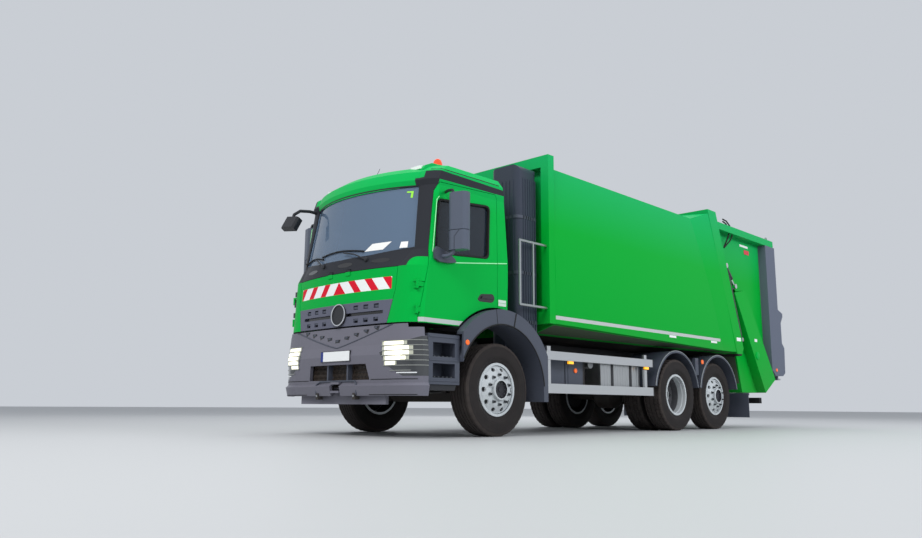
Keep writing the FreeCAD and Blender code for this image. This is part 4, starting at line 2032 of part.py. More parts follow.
def bin_lifter():
    """Shaft, two arms and the toothed comb that takes the bins."""
    y, z = S.lifter_station, S.lifter_height
    reach = S.gate_side - S.seat_clearance
    shaft = Part.makeCylinder(mm(S.lifter_shaft_radius), 2 * mm(reach), point(-reach, y, z), Vector(1, 0, 0))
    depth = S.lifter_arm_depth / 2
    low = (y + S.lifter_out, z - S.lifter_hang)
    arms = []
    for side in (1, -1):
        x = side * S.lifter_arm_offset - S.lifter_arm_width / 2
        arms.append(fleshed([(y - depth * 0.7, z), (y + depth * 0.7, z), (low[0] + depth, low[1]), (low[0] - depth, low[1])], (x, x + S.lifter_arm_width)))
    comb_y = (low[0] + depth * 0.4, low[0] + depth * 0.4 + S.comb_thickness)
    half = S.comb_half_width
    comb = Part.makeBox(2 * mm(half), mm(S.comb_thickness), mm(S.comb_height), point(-half, comb_y[0], low[1]))
    teeth = []
    pitch = mm(half) * 2 / comb_teeth
    for index in range(comb_teeth):
        x = -mm(half) + pitch * (index + 0.25)
        teeth.append(Part.makeBox(pitch * 0.5, mm(S.comb_thickness), mm(S.comb_tooth), Vector(x, mm(comb_y[0]), mm(low[1] + S.comb_height))))
    return feature("bin_lifter_shape", shaft.fuse(arms + [comb] + teeth))


comb_teeth = 13


def riding_step():
    """A folding grating with its hinge tube, on the left."""
    tube = Part.makeCylinder(mm(S.ride_hinge_radius), mm(S.ride_outer - S.ride_inner), point(S.ride_inner, S.ride_front, S.ride_height), Vector(1, 0, 0))
    rear = S.ride_front + S.ride_depth
    thick = mm(S.ride_thickness)
    low = S.ride_height - S.ride_thickness / 2
    width = mm(S.ride_outer - S.ride_inner)
    plate = Part.makeBox(width, mm(rear - S.ride_front), thick, point(S.ride_inner, S.ride_front, low))
    cuts = []
    depth = mm(rear - S.ride_front)
    for row in range(grating_rows):
        y = mm(S.ride_front) + depth * (row + 0.35) / grating_rows
        for side in range(grating_columns):
            x = mm(S.ride_inner) + width * (side + 0.12) / grating_columns
            cuts.append(Part.makeBox(width * 0.76 / grating_columns, depth * 0.5 / grating_rows, thick * 3, Vector(x, y, mm(low) - thick)))
    return feature("riding_step", plate.cut(cuts).fuse(tube))


grating_rows = 3
grating_columns = 3


def tailgate():
    node("tailgate_shell", [feature("tailgate_shape", tailgate_shell())])
    node("slide_guides", both_sides([slide_guide()]))
    node("rear_columns", both_sides(rear_columns()))
    node("packer_carriage", [carriage()])
    node("packer_blade", [blade()])
    cylinders()
    node("bin_lifter", [bin_lifter()])
    step = riding_step()
    node("riding_step_left", [step])
    node("riding_step_right", [other_side(step)])


wheels()
steering()
chassis()
equipment()
cab()
front_end()
behind_cab()
body()
tailgate()
document.recompute()

broken = [item.Name for item in document.Objects if "Invalid" in item.State or "Error" in item.State]
if broken:
    raise ValueError(f"failed features: {broken}")
for label, item in NODES.items():
    if item.Shape.isNull() or not item.Shape.isValid():
        raise ValueError(f"{label} has no valid shape")
os.makedirs("parts", exist_ok=True)
for label, item in NODES.items():
    item.Shape.exportStep(f"parts/{label}.step")
print(f"{len(NODES)} pieces written")
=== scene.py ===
import itertools
import math

import bmesh
import bpy
from mathutils import Matrix, Vector
from mathutils.bvhtree import BVHTree


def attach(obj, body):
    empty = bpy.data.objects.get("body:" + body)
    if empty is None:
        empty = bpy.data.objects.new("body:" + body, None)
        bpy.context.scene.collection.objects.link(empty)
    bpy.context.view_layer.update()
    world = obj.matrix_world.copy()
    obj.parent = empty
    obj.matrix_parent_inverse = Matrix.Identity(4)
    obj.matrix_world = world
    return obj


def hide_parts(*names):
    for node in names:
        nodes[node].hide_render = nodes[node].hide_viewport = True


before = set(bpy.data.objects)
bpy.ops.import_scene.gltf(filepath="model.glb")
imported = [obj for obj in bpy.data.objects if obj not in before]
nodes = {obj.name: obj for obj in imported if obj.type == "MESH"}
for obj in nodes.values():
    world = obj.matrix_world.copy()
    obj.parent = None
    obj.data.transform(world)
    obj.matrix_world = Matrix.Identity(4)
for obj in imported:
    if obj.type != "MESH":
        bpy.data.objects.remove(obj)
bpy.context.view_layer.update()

# The frame is in metres: X to the vehicle's left, -Y to its front, Z up. Stations are
# counted rearwards from the front of the bumper.
HALF_LENGTH = 4.8
AXLE_HEIGHT = 0.525
FRONT_AXLE = 1.44 - HALF_LENGTH
DRIVE_AXLE = 5.44 - HALF_LENGTH
TAG_AXLE = 6.79 - HALF_LENGTH
SIDES = (("left", 1), ("right", -1))
UP = (0, 0, 1)
REARWARD = (0, 1, 0)
# Where rays start, well outside the vehicle
FAR_AHEAD = -6
FAR_BESIDE = 3
FAR_ABOVE = 5


def at(x, station, z):
    """A point given with its station instead of its Y."""
    return Vector((x, station - HALF_LENGTH, z))


def spread(first, last, count):
    """Even steps from one number to another."""
    return [first + (last - first) * index / (count - 1) for index in range(count)]


def angles(count, shift=0.0):
    """Even angles round a full turn."""
    return [2 * math.pi * (index + shift) / count for index in range(count)]


def round_about(centre, radius, angle, across=0.0):
    """A point round a centre as the side view shows it, moved sideways by `across`."""
    x, y, z = centre
    return Vector((x + across, y + radius * math.cos(angle), z + radius * math.sin(angle)))


def arc(centre, radius, first, last, count, across):
    """Points round a centre between two angles in degrees."""
    turns = spread(first, last, count)
    return [round_about(centre, radius, math.radians(angle), across) for angle in turns]


def placed(x, path):
    """A (station, z) path at one distance from the centre line."""
    return [at(x, *p) for p in path]


def raised(path, rise):
    return [p + Vector((0, 0, rise)) for p in path]


def looped(rows):
    """Each row with its first point again at its end."""
    return [row + row[:1] for row in rows]


def rounded_path(corners, radius, steps):
    """A closed outline with its corners rounded."""
    most = 0.45
    path = []
    for index, corner in enumerate(corners):
        here = Vector(corner)
        before = Vector(corners[index - 1]) - here
        after = Vector(corners[(index + 1) % len(corners)]) - here
        reach = min(radius, before.length * most, after.length * most)
        start = here + before.normalized() * reach
        end = here + after.normalized() * reach
        for share in spread(0, 1, steps + 1):
            path.append(tuple(start * (1 - share) ** 2 + here * 2 * share * (1 - share) + end * share ** 2))
    return path


# Materials

# Blender's Mix node: its kind of data, then the places of the sockets A, B and result
MIX_COLOR = ("RGBA", 6, 7, 2)
MIX_NUMBER = ("FLOAT", 2, 3, 0)
COAT_ROUGHNESS = 0.06
BUMP_DISTANCE = 0.002
ROAD_DIRT = (0.13, 0.1, 0.075)


class Field:
    """A number that varies over a material, with the node socket that gives it."""

    def __init__(self, tree, socket):
        self.tree = tree
        self.socket = socket

    def math(self, operation, *others):
        item = self.tree.nodes.new("ShaderNodeMath")
        item.operation = operation
        for index, value in enumerate((self, *others)):
            if isinstance(value, Field):
                self.tree.links.new(value.socket, item.inputs[index])
            else:
                item.inputs[index].default_value = value
        return Field(self.tree, item.outputs[0])

    def __add__(self, other):
        return self.math("ADD", other)

    def __sub__(self, other):
        return self.math("SUBTRACT", other)

    def __mul__(self, other):
        return self.math("MULTIPLY", other)

    def __truediv__(self, other):
        return self.math("DIVIDE", other)

    def over(self, other):
        return self.math("GREATER_THAN", other)

    def under(self, other):
        return self.math("LESS_THAN", other)

    def between(self, low, high):
        return self.over(low) * self.under(high)

    def either(self, other):
        return self.math("MAXIMUM", other)

    def size(self):
        return self.math("ABSOLUTE")

    def wrapped(self, pitch):
        return (self / pitch).math("FRACT")

    def clamped(self):
        return self.math("MAXIMUM", 0.0).math("MINIMUM", 1.0)


class Paint:
    """A material built from layers, each laid over the ones before where its mask is 1."""

    def __init__(self, name, color, roughness, metallic=0.0, coat=0.0, grain=0.0,
                 grain_scale=60.0, specular=0.5):
        self.material = bpy.data.materials.new(name)
        self.material.use_nodes = True
        self.tree = self.material.node_tree
        self.shader = next(n for n in self.tree.nodes if n.type == "BSDF_PRINCIPLED")
        values = {"Metallic": metallic, "Coat Weight": coat, "Coat Roughness": COAT_ROUGHNESS,
                  "Specular IOR Level": specular, "Base Color": (*color, 1), "Roughness": roughness}
        for socket, value in values.items():
            self.shader.inputs[socket].default_value = value
        self.material.diffuse_color = (*color, 1)
        self.coordinates = self.tree.nodes.new("ShaderNodeTexCoord").outputs["Object"]
        parts = self.tree.nodes.new("ShaderNodeSeparateXYZ")
        self.tree.links.new(self.coordinates, parts.inputs[0])
        self.x, self.y, self.z = (Field(self.tree, parts.outputs[i]) for i in range(3))
        if grain:
            self.bump(self.noise(grain_scale), grain)

    @property
    def side(self):
        """The distance from the centre line."""
        return self.x.size()

    @property
    def station(self):
        return self.y + HALF_LENGTH

    def noise(self, scale, detail=4.0):
        item = self.tree.nodes.new("ShaderNodeTexNoise")
        item.inputs["Scale"].default_value = scale
        item.inputs["Detail"].default_value = detail
        self.tree.links.new(self.coordinates, item.inputs["Vector"])
        return Field(self.tree, item.outputs["Fac"])

    def layer(self, mask, color=None, roughness=None, metallic=None):
        """Lays a colour and finish over what is there."""
        wanted = {"Base Color": color and (*color, 1), "Roughness": roughness, "Metallic": metallic}
        for name, value in wanted.items():
            if value is None:
                continue
            mix = self.tree.nodes.new("ShaderNodeMix")
            mix.data_type, below, above, result = MIX_COLOR if name == "Base Color" else MIX_NUMBER
            self.tree.links.new(mask.socket, mix.inputs["Factor"])
            target = self.shader.inputs[name]
            if target.links:
                self.tree.links.new(target.links[0].from_socket, mix.inputs[below])
            else:
                mix.inputs[below].default_value = target.default_value
            mix.inputs[above].default_value = value
            self.tree.links.new(mix.outputs[result], target)
        return self

    def bump(self, height, strength):
        item = self.tree.nodes.new("ShaderNodeBump")
        item.inputs["Strength"].default_value = strength
        item.inputs["Distance"].default_value = BUMP_DISTANCE
        self.tree.links.new(height.socket, item.inputs["Height"])
        self.tree.links.new(item.outputs[0], self.shader.inputs["Normal"])

    def dirty(self, low, high, amount, scale=3.0):
        """Road dirt that fades out between two heights."""
        fade = ((self.z - high) / (low - high)).clamped()
        return self.layer(fade * self.noise(scale, 8.0) * amount, ROAD_DIRT, 0.85)

    def glow(self, color, strength):
        self.shader.inputs["Emission Color"].default_value = (*color, 1)
        self.shader.inputs["Emission Strength"].default_value = strength
        return self


GREEN = (0.0005, 0.37, 0.05)
GREEN_BODY = (0.0005, 0.34, 0.03)
GREEN_EDGE = (0.0005, 0.29, 0.028)
# Painted sky reflection: a paler, bluer green laid over the upper surfaces
PAINTED_SKY_GREEN = (0.014, 0.38, 0.15)
CHARCOAL = (0.028, 0.03, 0.036)
STEEL_BLACK = (0.018, 0.018, 0.02)
WHITE = (0.78, 0.8, 0.8)
SIGNAL_RED = (0.62, 0.012, 0.03)
CABIN_GREY = (0.05, 0.052, 0.06)
WORN_STEEL = (0.09, 0.12, 0.08)


def green_paint(name, color=GREEN, sky_reflection_share=0.8):
    """The green coat, made paler towards the top by a painted sky reflection."""
    paint = Paint(name, color, 0.4, coat=0.02, grain=0.02, grain_scale=9.0, specular=0.06)
    paint.layer(paint.noise(1.6, 3.0) * 0.10, GREEN_EDGE, 0.36)
    # Painted sky reflection, growing towards the top
    return paint.layer(((paint.z - 2.55) / 0.9).clamped() * sky_reflection_share, PAINTED_SKY_GREEN)


def plastic(name, color, roughness=0.5):
    return Paint(name, color, roughness, grain=0.25, grain_scale=420.0, specular=0.4)


def metal(name, color, roughness, grain):
    return Paint(name, color, roughness, metallic=1.0, grain=grain, grain_scale=90.0)


def lit(name, color, roughness, glow, strength, coat=0.0):
    return Paint(name, color, roughness, coat=coat).glow(glow, strength)


def steel(name, color, rust=0.35, low=0.3, high=1.2):
    """Painted steel with road dirt low down."""
    return Paint(name, color, 0.6, grain=0.3, grain_scale=45.0).dirty(low, high, rust, 6.0)


def glass(name, tint, alpha):
    paint = Paint(name, tint, 0.03, coat=0.1)
    paint.shader.inputs["Alpha"].default_value = alpha
    paint.material.surface_render_method = "BLENDED"
    return paint


def cab_paint():
    """Green sheet with black pillars, wiper panel and drip strips, and painted shade darkening its
    underside and wheel arches.
    """
    paint = green_paint("cab_paint")
    side, station, z = paint.side, paint.station, paint.z
    panel = z.between(1.812, 2.02) * side.under(0.985) * station.under(0.6)
    beyond = (side - 1.06) * (side - 1.06) + (z - 1.835) * (z - 1.835)
    corner = side.between(0.984, 1.061) * z.between(1.835, 1.911) * beyond.over(0.0055) * station.under(0.6)
    pillar = z.between(1.91, 2.83) * station.under((z - 1.985) * 0.06 + 0.43) * side.over(0.89)
    seam = z.between(2.735, 2.752) * station.under(0.5)
    strip = z.over(station * 0.012 + 2.795) * z.under(station * -0.02 + 2.912)
    strip = strip * station.over(0.3) * side.over(1.0)
    # Where painted shade darkens the insides of the wheel arches
    arch = side.under(1.136) * station.between(0.9, 1.61) * z.under(1.5)
    paint.layer(panel.either(corner).either(pillar).either(seam).either(strip), CHARCOAL, 0.4)
    paint.layer(station.over(1.585) * z.over(1.2), GREEN, 0.4)
    # Painted shade: the underside and the wheel arches laid near black
    paint.layer(z.under(1.2035).either(arch), STEEL_BLACK, 0.7)
    inside = side.under(1.098) * station.between(0.46, 1.57) * z.between(1.245, 2.86)
    return paint.layer(inside, CABIN_GREY, 0.8)


def flap_paint():
    """The flap with its red and white warning chevrons."""
    paint = green_paint("flap_paint")
    side = paint.side
    band = paint.z.between(1.572, 1.706) * side.under(0.812)
    paint.layer(band, WHITE, 0.4)
    lean = side + (paint.z - 1.572) * 0.78
    paint.layer(band * lean.wrapped(0.264).under(0.41), SIGNAL_RED, 0.4)
    return paint.layer(paint.z.over(1.812), CHARCOAL, 0.4)


def door_paint():
    """Green outside with a low grey strip, grey inside."""
    paint = green_paint("door_paint")
    strip = paint.z.between(1.208, 1.256) * paint.station.between(0.215, 0.885)
    paint.layer(strip, (0.42, 0.47, 0.46), 0.4)
    return paint.layer(paint.side.under(1.099), CABIN_GREY, 0.8)


def body_paint():
    """The compactor body with its grey stripe, worn inside, and painted shade darkening its underside."""
    paint = green_paint("body_paint", GREEN_BODY, 0.6)
    side, station = paint.side, paint.station
    # Painted shade: the underside below the side's lower edge laid near black, with road dirt above it
    paint.layer(paint.z.under(1.236), STEEL_BLACK, 0.7).dirty(1.2, 1.5, 0.2)
    stripe = paint.z.between(1.405, 1.452) * station.between(2.43, 6.88) * side.over(1.2)
    paint.layer(stripe, (0.46, 0.49, 0.48), 0.35)
    inside = side.under(1.185) * paint.z.between(1.25, 3.36) * station.over(2.46)
    return paint.layer(inside, WORN_STEEL, 0.6)


def gate_paint():
    """The tailgate, green down to its trough, with a worn hopper inside."""
    paint = green_paint("gate_paint", GREEN_BODY, 0.6).dirty(0.5, 1.2, 0.25)
    paint.layer(paint.z.under(0.6), STEEL_BLACK, 0.6)
    inside = paint.side.under(1.083) * paint.z.between(0.75, 3.36) * paint.station.between(7.62, 9.2)
    return paint.layer(inside, WORN_STEEL, 0.6)


def rim_paint():
    paint = Paint("rim_paint", (0.56, 0.59, 0.61), 0.4, metallic=0.3, grain=0.08, grain_scale=70.0)
    return paint.layer(paint.noise(7.0, 6.0).over(0.58) * 0.3, (0.25, 0.26, 0.27), 0.7, 0.0)


def tread_paint():
    """Brown, dusty tread."""
    paint = Paint("tread_rubber", (0.028, 0.024, 0.024), 0.9, grain=0.5, grain_scale=120.0, specular=0.2)
    return paint.layer(paint.noise(14.0, 8.0) * 0.7, (0.075, 0.062, 0.055), 0.95)


def sidewall_paint():
    paint = Paint("sidewall_rubber", (0.015, 0.013, 0.014), 0.7, grain=0.15, grain_scale=150.0,
                  specular=0.25)
    return paint.layer(paint.noise(9.0, 8.0) * 0.35, (0.05, 0.042, 0.036), 0.9)


PAINTS = {
    "green": green_paint("green_paint"),
    "cab": cab_paint(),
    "flap": flap_paint(),
    "door": door_paint(),
    "body": body_paint(),
    "gate": gate_paint(),
    "charcoal": plastic("charcoal_plastic", CHARCOAL, 0.42),
    "black": plastic("black_plastic", (0.022, 0.023, 0.027), 0.45),
    "gloss_black": Paint("gloss_black", (0.012, 0.012, 0.014), 0.12, coat=0.4),
    "rubber": Paint("seal_rubber", (0.012, 0.012, 0.012), 0.75, grain=0.3, grain_scale=500.0),
    "tyre": Paint("tyre_rubber", (0.022, 0.021, 0.021), 0.78, grain=0.35, grain_scale=160.0, specular=0.3),
    "tread_rubber": tread_paint(),
    "sidewall": sidewall_paint(),
    "chrome": metal("polished_steel", (0.75, 0.76, 0.78), 0.16, 0.05),
    "steel": metal("bare_steel", (0.42, 0.43, 0.44), 0.38, 0.2),
    "zinc": metal("zinc_steel", (0.55, 0.57, 0.58), 0.42, 0.15),
    "step_tread": metal("tread_steel", (0.2, 0.21, 0.22), 0.5, 0.2),
    "mirror": metal("mirror_face", (0.85, 0.87, 0.9), 0.03, 0.0),
    "nut": metal("nut_steel", (0.16, 0.17, 0.18), 0.45, 0.05),
    "tank": metal("tank_aluminium", (0.55, 0.56, 0.57), 0.36, 0.2),
    "guard": metal("guard_aluminium", (0.72, 0.73, 0.74), 0.42, 0.1),
    "rim": rim_paint(),
    # Painted shade for the deep back, the drum and the bolt ends of the wheels
    "rim_shade": Paint("rim_shadow", (0.012, 0.012, 0.014), 0.8),
    # Painted shade: the deep disc of the twin wheels, darker than the rim
    "dish": Paint("rim_shaded_dish", (0.1, 0.1, 0.108), 0.6, metallic=0.2, grain=0.1, grain_scale=70.0),
    "hub_dark": plastic("hub_dark", (0.022, 0.022, 0.028)),
    "white": Paint("white_sheet", WHITE, 0.35, coat=0.3),
    "red": Paint("red_sheet", SIGNAL_RED, 0.35, coat=0.3),
    "lime": Paint("lime_sheet", (0.3, 0.75, 0.06), 0.5),
    "label": Paint("label_sheet", (0.55, 0.68, 0.6), 0.4),
    "paper": Paint("paper", (0.8, 0.8, 0.78), 0.7),
    "blue": Paint("plate_strip", (0.01, 0.03, 0.2), 0.4),
    # Painted highlight: a light green for bright lines along ridges and edges
    "highlight_green": Paint("highlight_green", (0.35, 0.85, 0.45), 0.3, coat=0.3),
    "orange": lit("orange_lens", (0.85, 0.13, 0.01), 0.15, (0.9, 0.14, 0.0), 0.22, 0.5),
    "amber_lamp": lit("amber_lamp", (1.0, 0.42, 0.02), 0.2, (1.0, 0.45, 0.02), 0.9, 0.6),
    "beacon": lit("beacon_lens", (0.8, 0.06, 0.01), 0.15, (0.9, 0.06, 0.0), 0.18, 0.6),
    "red_lens": lit("red_lens", (0.55, 0.006, 0.006), 0.12, (0.6, 0.0, 0.0), 0.2, 0.8),
    "clear_lens": Paint("clear_lens", (0.7, 0.72, 0.74), 0.08, coat=0.8),
    "warm_light": lit("lamp_light", (1.0, 0.93, 0.7), 0.2, (1.0, 0.95, 0.72), 1.9),
    "soft_light": lit("lamp_soft", (0.9, 0.86, 0.66), 0.2, (0.95, 0.93, 0.7), 0.9),
    "dim_light": lit("lamp_glow", (0.35, 0.36, 0.3), 0.2, (0.7, 0.72, 0.55), 0.16),
    "lamp_cover": Paint("lamp_cover", (0.035, 0.038, 0.042), 0.1, coat=0.8),
    "lamp_bar": Paint("lamp_bar", (0.2, 0.21, 0.2), 0.3, coat=0.3),
    "seat_cloth": Paint("seat_cloth", (0.035, 0.037, 0.045), 0.9, grain=0.5, grain_scale=700.0),
    "mesh": plastic("intake_mesh", (0.06, 0.045, 0.035), 0.6),
    "bumper": plastic("bumper_plastic", (0.135, 0.133, 0.165), 0.48),
    "fender": plastic("fender_plastic", (0.06, 0.068, 0.092), 0.42),
    "grille": plastic("grille_plastic", (0.095, 0.1, 0.14), 0.42),
    "mirror_body": plastic("mirror_plastic", (0.08, 0.095, 0.13), 0.4),
    "tower": plastic("tower_plastic", (0.03, 0.037, 0.056), 0.38),
    "cylinder": Paint("cylinder_paint", (0.014, 0.015, 0.022), 0.3, coat=0.3),
    "frame_steel": steel("frame_steel", STEEL_BLACK),
    "axle_steel": steel("axle_steel", (0.03, 0.028, 0.027), 0.6, 0.2, 0.9),
    "column": steel("column_steel", (0.1, 0.115, 0.16), 0.1, 0.3, 1.4),
    "hopper": steel("hopper_steel", (0.06, 0.062, 0.06), 0.5, 0.5, 2.0),
    # The windscreen's blue is partly glass tint and partly a painted sky reflection
    "screen": glass("screen_glass", (0.12, 0.18, 0.27), 0.7),
    "tinted": glass("side_glass", (0.015, 0.022, 0.032), 0.75),
}
M = {key: paint.material for key, paint in PAINTS.items()}

# The CAD nodes and what they wear. Their meshes are left alone.
WORN_BY = {
    "cab": "cab_shell",
    "flap": "front_flap",
    "door": "door_left door_right",
    "body": "body_shell body_frames",
    "gate": "tailgate_shell slide_guides",
    "frame_steel": "chassis_frame subframe side_equipment powertrain bin_lifter",
    "axle_steel": "axles suspension knuckle_front_left knuckle_front_right knuckle_tag_left "
                  "knuckle_tag_right track_rod_front track_rod_tag",
    "hopper": "packer_carriage packer_blade ejector_plate",
    "column": "rear_columns",
    "zinc": "riding_step_left riding_step_right grab_rail",
    "bumper": "front_bumper",
    "fender": "front_fenders rear_mudguards mud_flaps cab_fittings",
    "grille": "grille",
    "mirror_body": "mirror_left mirror_right",
    "tower": "intake_tower",
    "black": "cab_interior",
    "screen": "cab_glass",
    "tinted": "door_glass_left door_glass_right",
    "lamp_cover": "headlamps",
    "tank": "fuel_tank",
    "guard": "side_guards",
    "chrome": "lift_rods packer_rods",
    "cylinder": "lift_barrels packer_barrels",
    "rim": "wheel_front_left wheel_front_right wheel_drive_left wheel_drive_right "
           "wheel_tag_left wheel_tag_right",
    "tyre": "tyre_front_left tyre_front_right tyre_drive_left tyre_drive_right "
            "tyre_tag_left tyre_tag_right",
}
for key, names in WORN_BY.items():
    for name in names.split():
        worn = nodes[name].data.materials
        if not worn:
            worn.append(M[key])
        for index in range(len(worn)):
            worn[index] = M[key]


# Geometry of the pieces

BLOCK_FACES = ((0, 1, 3, 2), (4, 6, 7, 5), (0, 4, 5, 1), (2, 3, 7, 6), (0, 2, 6, 4), (1, 5, 7, 3))


class Shape:
    """Collects the faces of one piece and makes its object."""

    def __init__(self):
        self.points = []
        self.faces = []
        self.face_materials = []
        self.materials = []

    def add(self, points, faces, material):
        if material not in self.materials:
            self.materials.append(material)
        base = len(self.points)
        self.points += [Vector(p) for p in points]
        self.faces += [tuple(base + i for i in face) for face in faces]
        self.face_materials += [self.materials.index(material)] * len(faces)

    def block(self, low, high, material, matrix=None):
        corners = [Vector(corner) for corner in itertools.product(*zip(low, high))]
        if matrix:
            corners = [matrix @ c for c in corners]
        self.add(corners, BLOCK_FACES, material)

    def flank(self, sign, across, stations, heights, material):
        """A block on one side of the vehicle, from its spans of distance, station and height."""
        inner, outer = sorted(sign * x for x in across)
        self.block(at(inner, stations[0], heights[0]), at(outer, stations[1], heights[1]), material)

    def bar(self, start, end, width, depth, material, up):
        """A straight bar of rectangular section from one point to another."""
        start, end = Vector(start), Vector(end)
        along = (end - start).normalized()
        side = along.cross(Vector(up)).normalized()
        matrix = Matrix((side, along, side.cross(along))).transposed().to_4x4()
        matrix.translation = start
        far_corner = (width / 2, (end - start).length, depth / 2)
        self.block((-width / 2, 0, -depth / 2), far_corner, material, matrix)

    def rod(self, start, end, radius, material, segments=20):
        start, end = Vector(start), Vector(end)
        run = end - start
        profile = [(0, 0), (0, radius), (run.length, radius), (run.length, 0)]
        self.turned(profile, start, run, material, segments)

    def turned(self, profile, centre, axis, material, segments=32):
        """A form of revolution from (along, radius) corners."""
        turn = Vector(axis).to_track_quat("X", "Z").to_matrix()
        centre = Vector(centre)
        rings, points = [], []
        for along, radius in profile:
            spots = [0.0] if radius < 1e-6 else angles(segments)
            rings.append(range(len(points), len(points) + len(spots)))
            points += [centre + turn @ round_about((along, 0, 0), radius, angle) for angle in spots]
        faces = []
        for first, second in zip(rings, rings[1:]):
            if len(first) == len(second) == 1:
                continue
            for a in range(segments):
                b = (a + 1) % segments
                if len(first) == 1:
                    faces.append((first[0], second[a], second[b]))
                elif len(second) == 1:
                    faces.append((first[a], second[0], first[b]))
                else:
                    faces.append((first[a], second[a], second[b], first[b]))
        self.add(points, faces, material)

    def lens(self, place, out, radius, face, rise, top, material, segments=24):
        """A round lamp with a sloping edge."""
        self.turned([(0, 0), (0, radius), (rise, face), (top, 0)], place, out, material, segments)

    def prism(self, outline, axis, span, material):
        """A flat outline drawn out along X, Y or Z; the outline gives the other two in order."""
        count = len(outline)
        spot = "xyz".index(axis)
        points = [(*pair[:spot], t, *pair[spot:]) for t in span for pair in outline]
        faces = [tuple(range(count)), tuple(range(2 * count - 1, count - 1, -1))]
        faces += [(i, i + count, (i + 1) % count + count, (i + 1) % count) for i in range(count)]
        self.add(points, faces, material)

    def slab(self, outline, span, material):
        """A (station, z) outline drawn out across the vehicle."""
        self.prism([(station - HALF_LENGTH, z) for station, z in outline], "x", span, material)

    def tube(self, path, radius, material, segments=10, closed=False):
        """A round tube along a path of points."""
        path = [Vector(p) for p in path]
        count = len(path)
        points, rings = [], []
        side = None
        for index, place in enumerate(path):
            before = path[index - 1] if index or closed else path[0]
            after = path[(index + 1) % count] if index + 1 < count or closed else path[-1]
            along = (after - before).normalized()
            if side is None:
                side = along.orthogonal().normalized()
            side = (side - along * side.dot(along)).normalized()
            rise = along.cross(side)
            rings.append(range(len(points), len(points) + segments))
            points += [place + side * radius * math.cos(a) + rise * radius * math.sin(a)
                       for a in angles(segments)]
        faces = []
        for first, second in list(zip(rings, rings[1:])) + ([(rings[-1], rings[0])] if closed else []):
            for step in range(segments):
                after = (step + 1) % segments
                faces.append((first[step], first[after], second[after], second[step]))
        if not closed:
            faces += [tuple(reversed(rings[0])), tuple(rings[-1])]
        self.add(points, faces, material)

    def strip(self, rows, material):
        """A sheet through rows of points."""
        width = len(rows[0])
        starts = [row * width + column for row in range(len(rows) - 1) for column in range(width - 1)]
        faces = [(first, first + 1, first + width + 1, first + width) for first in starts]
        self.add([p for row in rows for p in row], faces, material)

    def build(self, name, body, slot, bevel=0.0, crease=32):
        mesh = bpy.data.meshes.new(name)
        mesh.from_pydata([tuple(p) for p in self.points], [], self.faces)
        for material in self.materials:
            mesh.materials.append(M[material])
        for polygon, index in zip(mesh.polygons, self.face_materials):
            polygon.material_index = index
            polygon.use_smooth = True
        mesh.validate()
        bm = bmesh.new()
        bm.from_mesh(mesh)
        bmesh.ops.delete(bm, geom=[v for v in bm.verts if not v.link_faces], context="VERTS")
        bmesh.ops.recalc_face_normals(bm, faces=bm.faces)
        bm.to_mesh(mesh)
        bm.free()
        mesh.set_sharp_from_angle(angle=math.radians(crease))
        item = bpy.data.objects.new(name, mesh)
        bpy.context.scene.collection.objects.link(item)
        if bevel:
            modifier = item.modifiers.new("rounding", "BEVEL")
            modifier.width = bevel
            modifier.segments = 2
            modifier.limit_method = "ANGLE"
            modifier.angle_limit = math.radians(40)
            modifier.harden_normals = False
        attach(item, body)
        return item


def surface_of(*names):
    """A search tree over the faces of CAD nodes."""
    points, faces = [], []
    for name in names:
        mesh = nodes[name].data
        base = len(points)
        points += [v.co.copy() for v in mesh.vertices]
        faces += [tuple(base + i for i in p.vertices) for p in mesh.polygons]
    return BVHTree.FromPolygons(points, faces)


def touched(tree, start, direction, lift=0.0):
    """Where a ray first meets a surface, lifted off it by a little."""
    direction = Vector(direction).normalized()
    place, normal, _, _ = tree.ray_cast(Vector(start), direction)
    if place is None:
        return None
    if normal.dot(direction) > 0:
        normal = -normal
    return place + normal * lift


def ahead(tree, x, z, lift=0.0):
    """Where a ray from the front meets a surface."""
    return touched(tree, (x, FAR_AHEAD, z), REARWARD, lift)


def beside(tree, sign, station, z, lift=0.0):
    """Where a ray from one side meets a surface."""
    return touched(tree, at(sign * FAR_BESIDE, station, z), (-sign, 0, 0), lift)


def above(tree, x, station):
    """Where a ray from the sky meets a surface."""
    return touched(tree, at(x, station, FAR_ABOVE), (0, 0, -1))


def met(hits):
    return [hit for hit in hits if hit]


def patch(shape, skin, sign, place, half, heights, deep, material):
    """A thin label or marker on a side, round the (station, z) place where its ray lands."""
    hit = beside(skin, sign, *place)
    if hit:
        inner, outer = sorted((hit.x, hit.x + sign * deep))
        shape.block((inner, hit.y - half, heights[0]), (outer, hit.y + half, heights[1]), material)


# Wheels: distance of the middle from the centre line, place, tyres and tread

TYRE_RADIUS = 0.525
TREAD_STEPS = 168
WHEELS = {
    "front": (1.02, FRONT_AXLE, (0.0,), "rib"),
    "drive": (0.9, DRIVE_AXLE, (-0.175, 0.175), "block"),
    "tag": (1.02, TAG_AXLE, (0.0,), "rib"),
}
# A wheel nut's washer, nut and bolt: start, end, radius, material and segments; the bolt's end is painted
# shade
NUT_PARTS = ((0, 0.005, 0.0235, "zinc", 20), (0.005, 0.026, 0.0165, "nut", 6),
             (0.026, 0.036, 0.0095, "rim_shade", 10))


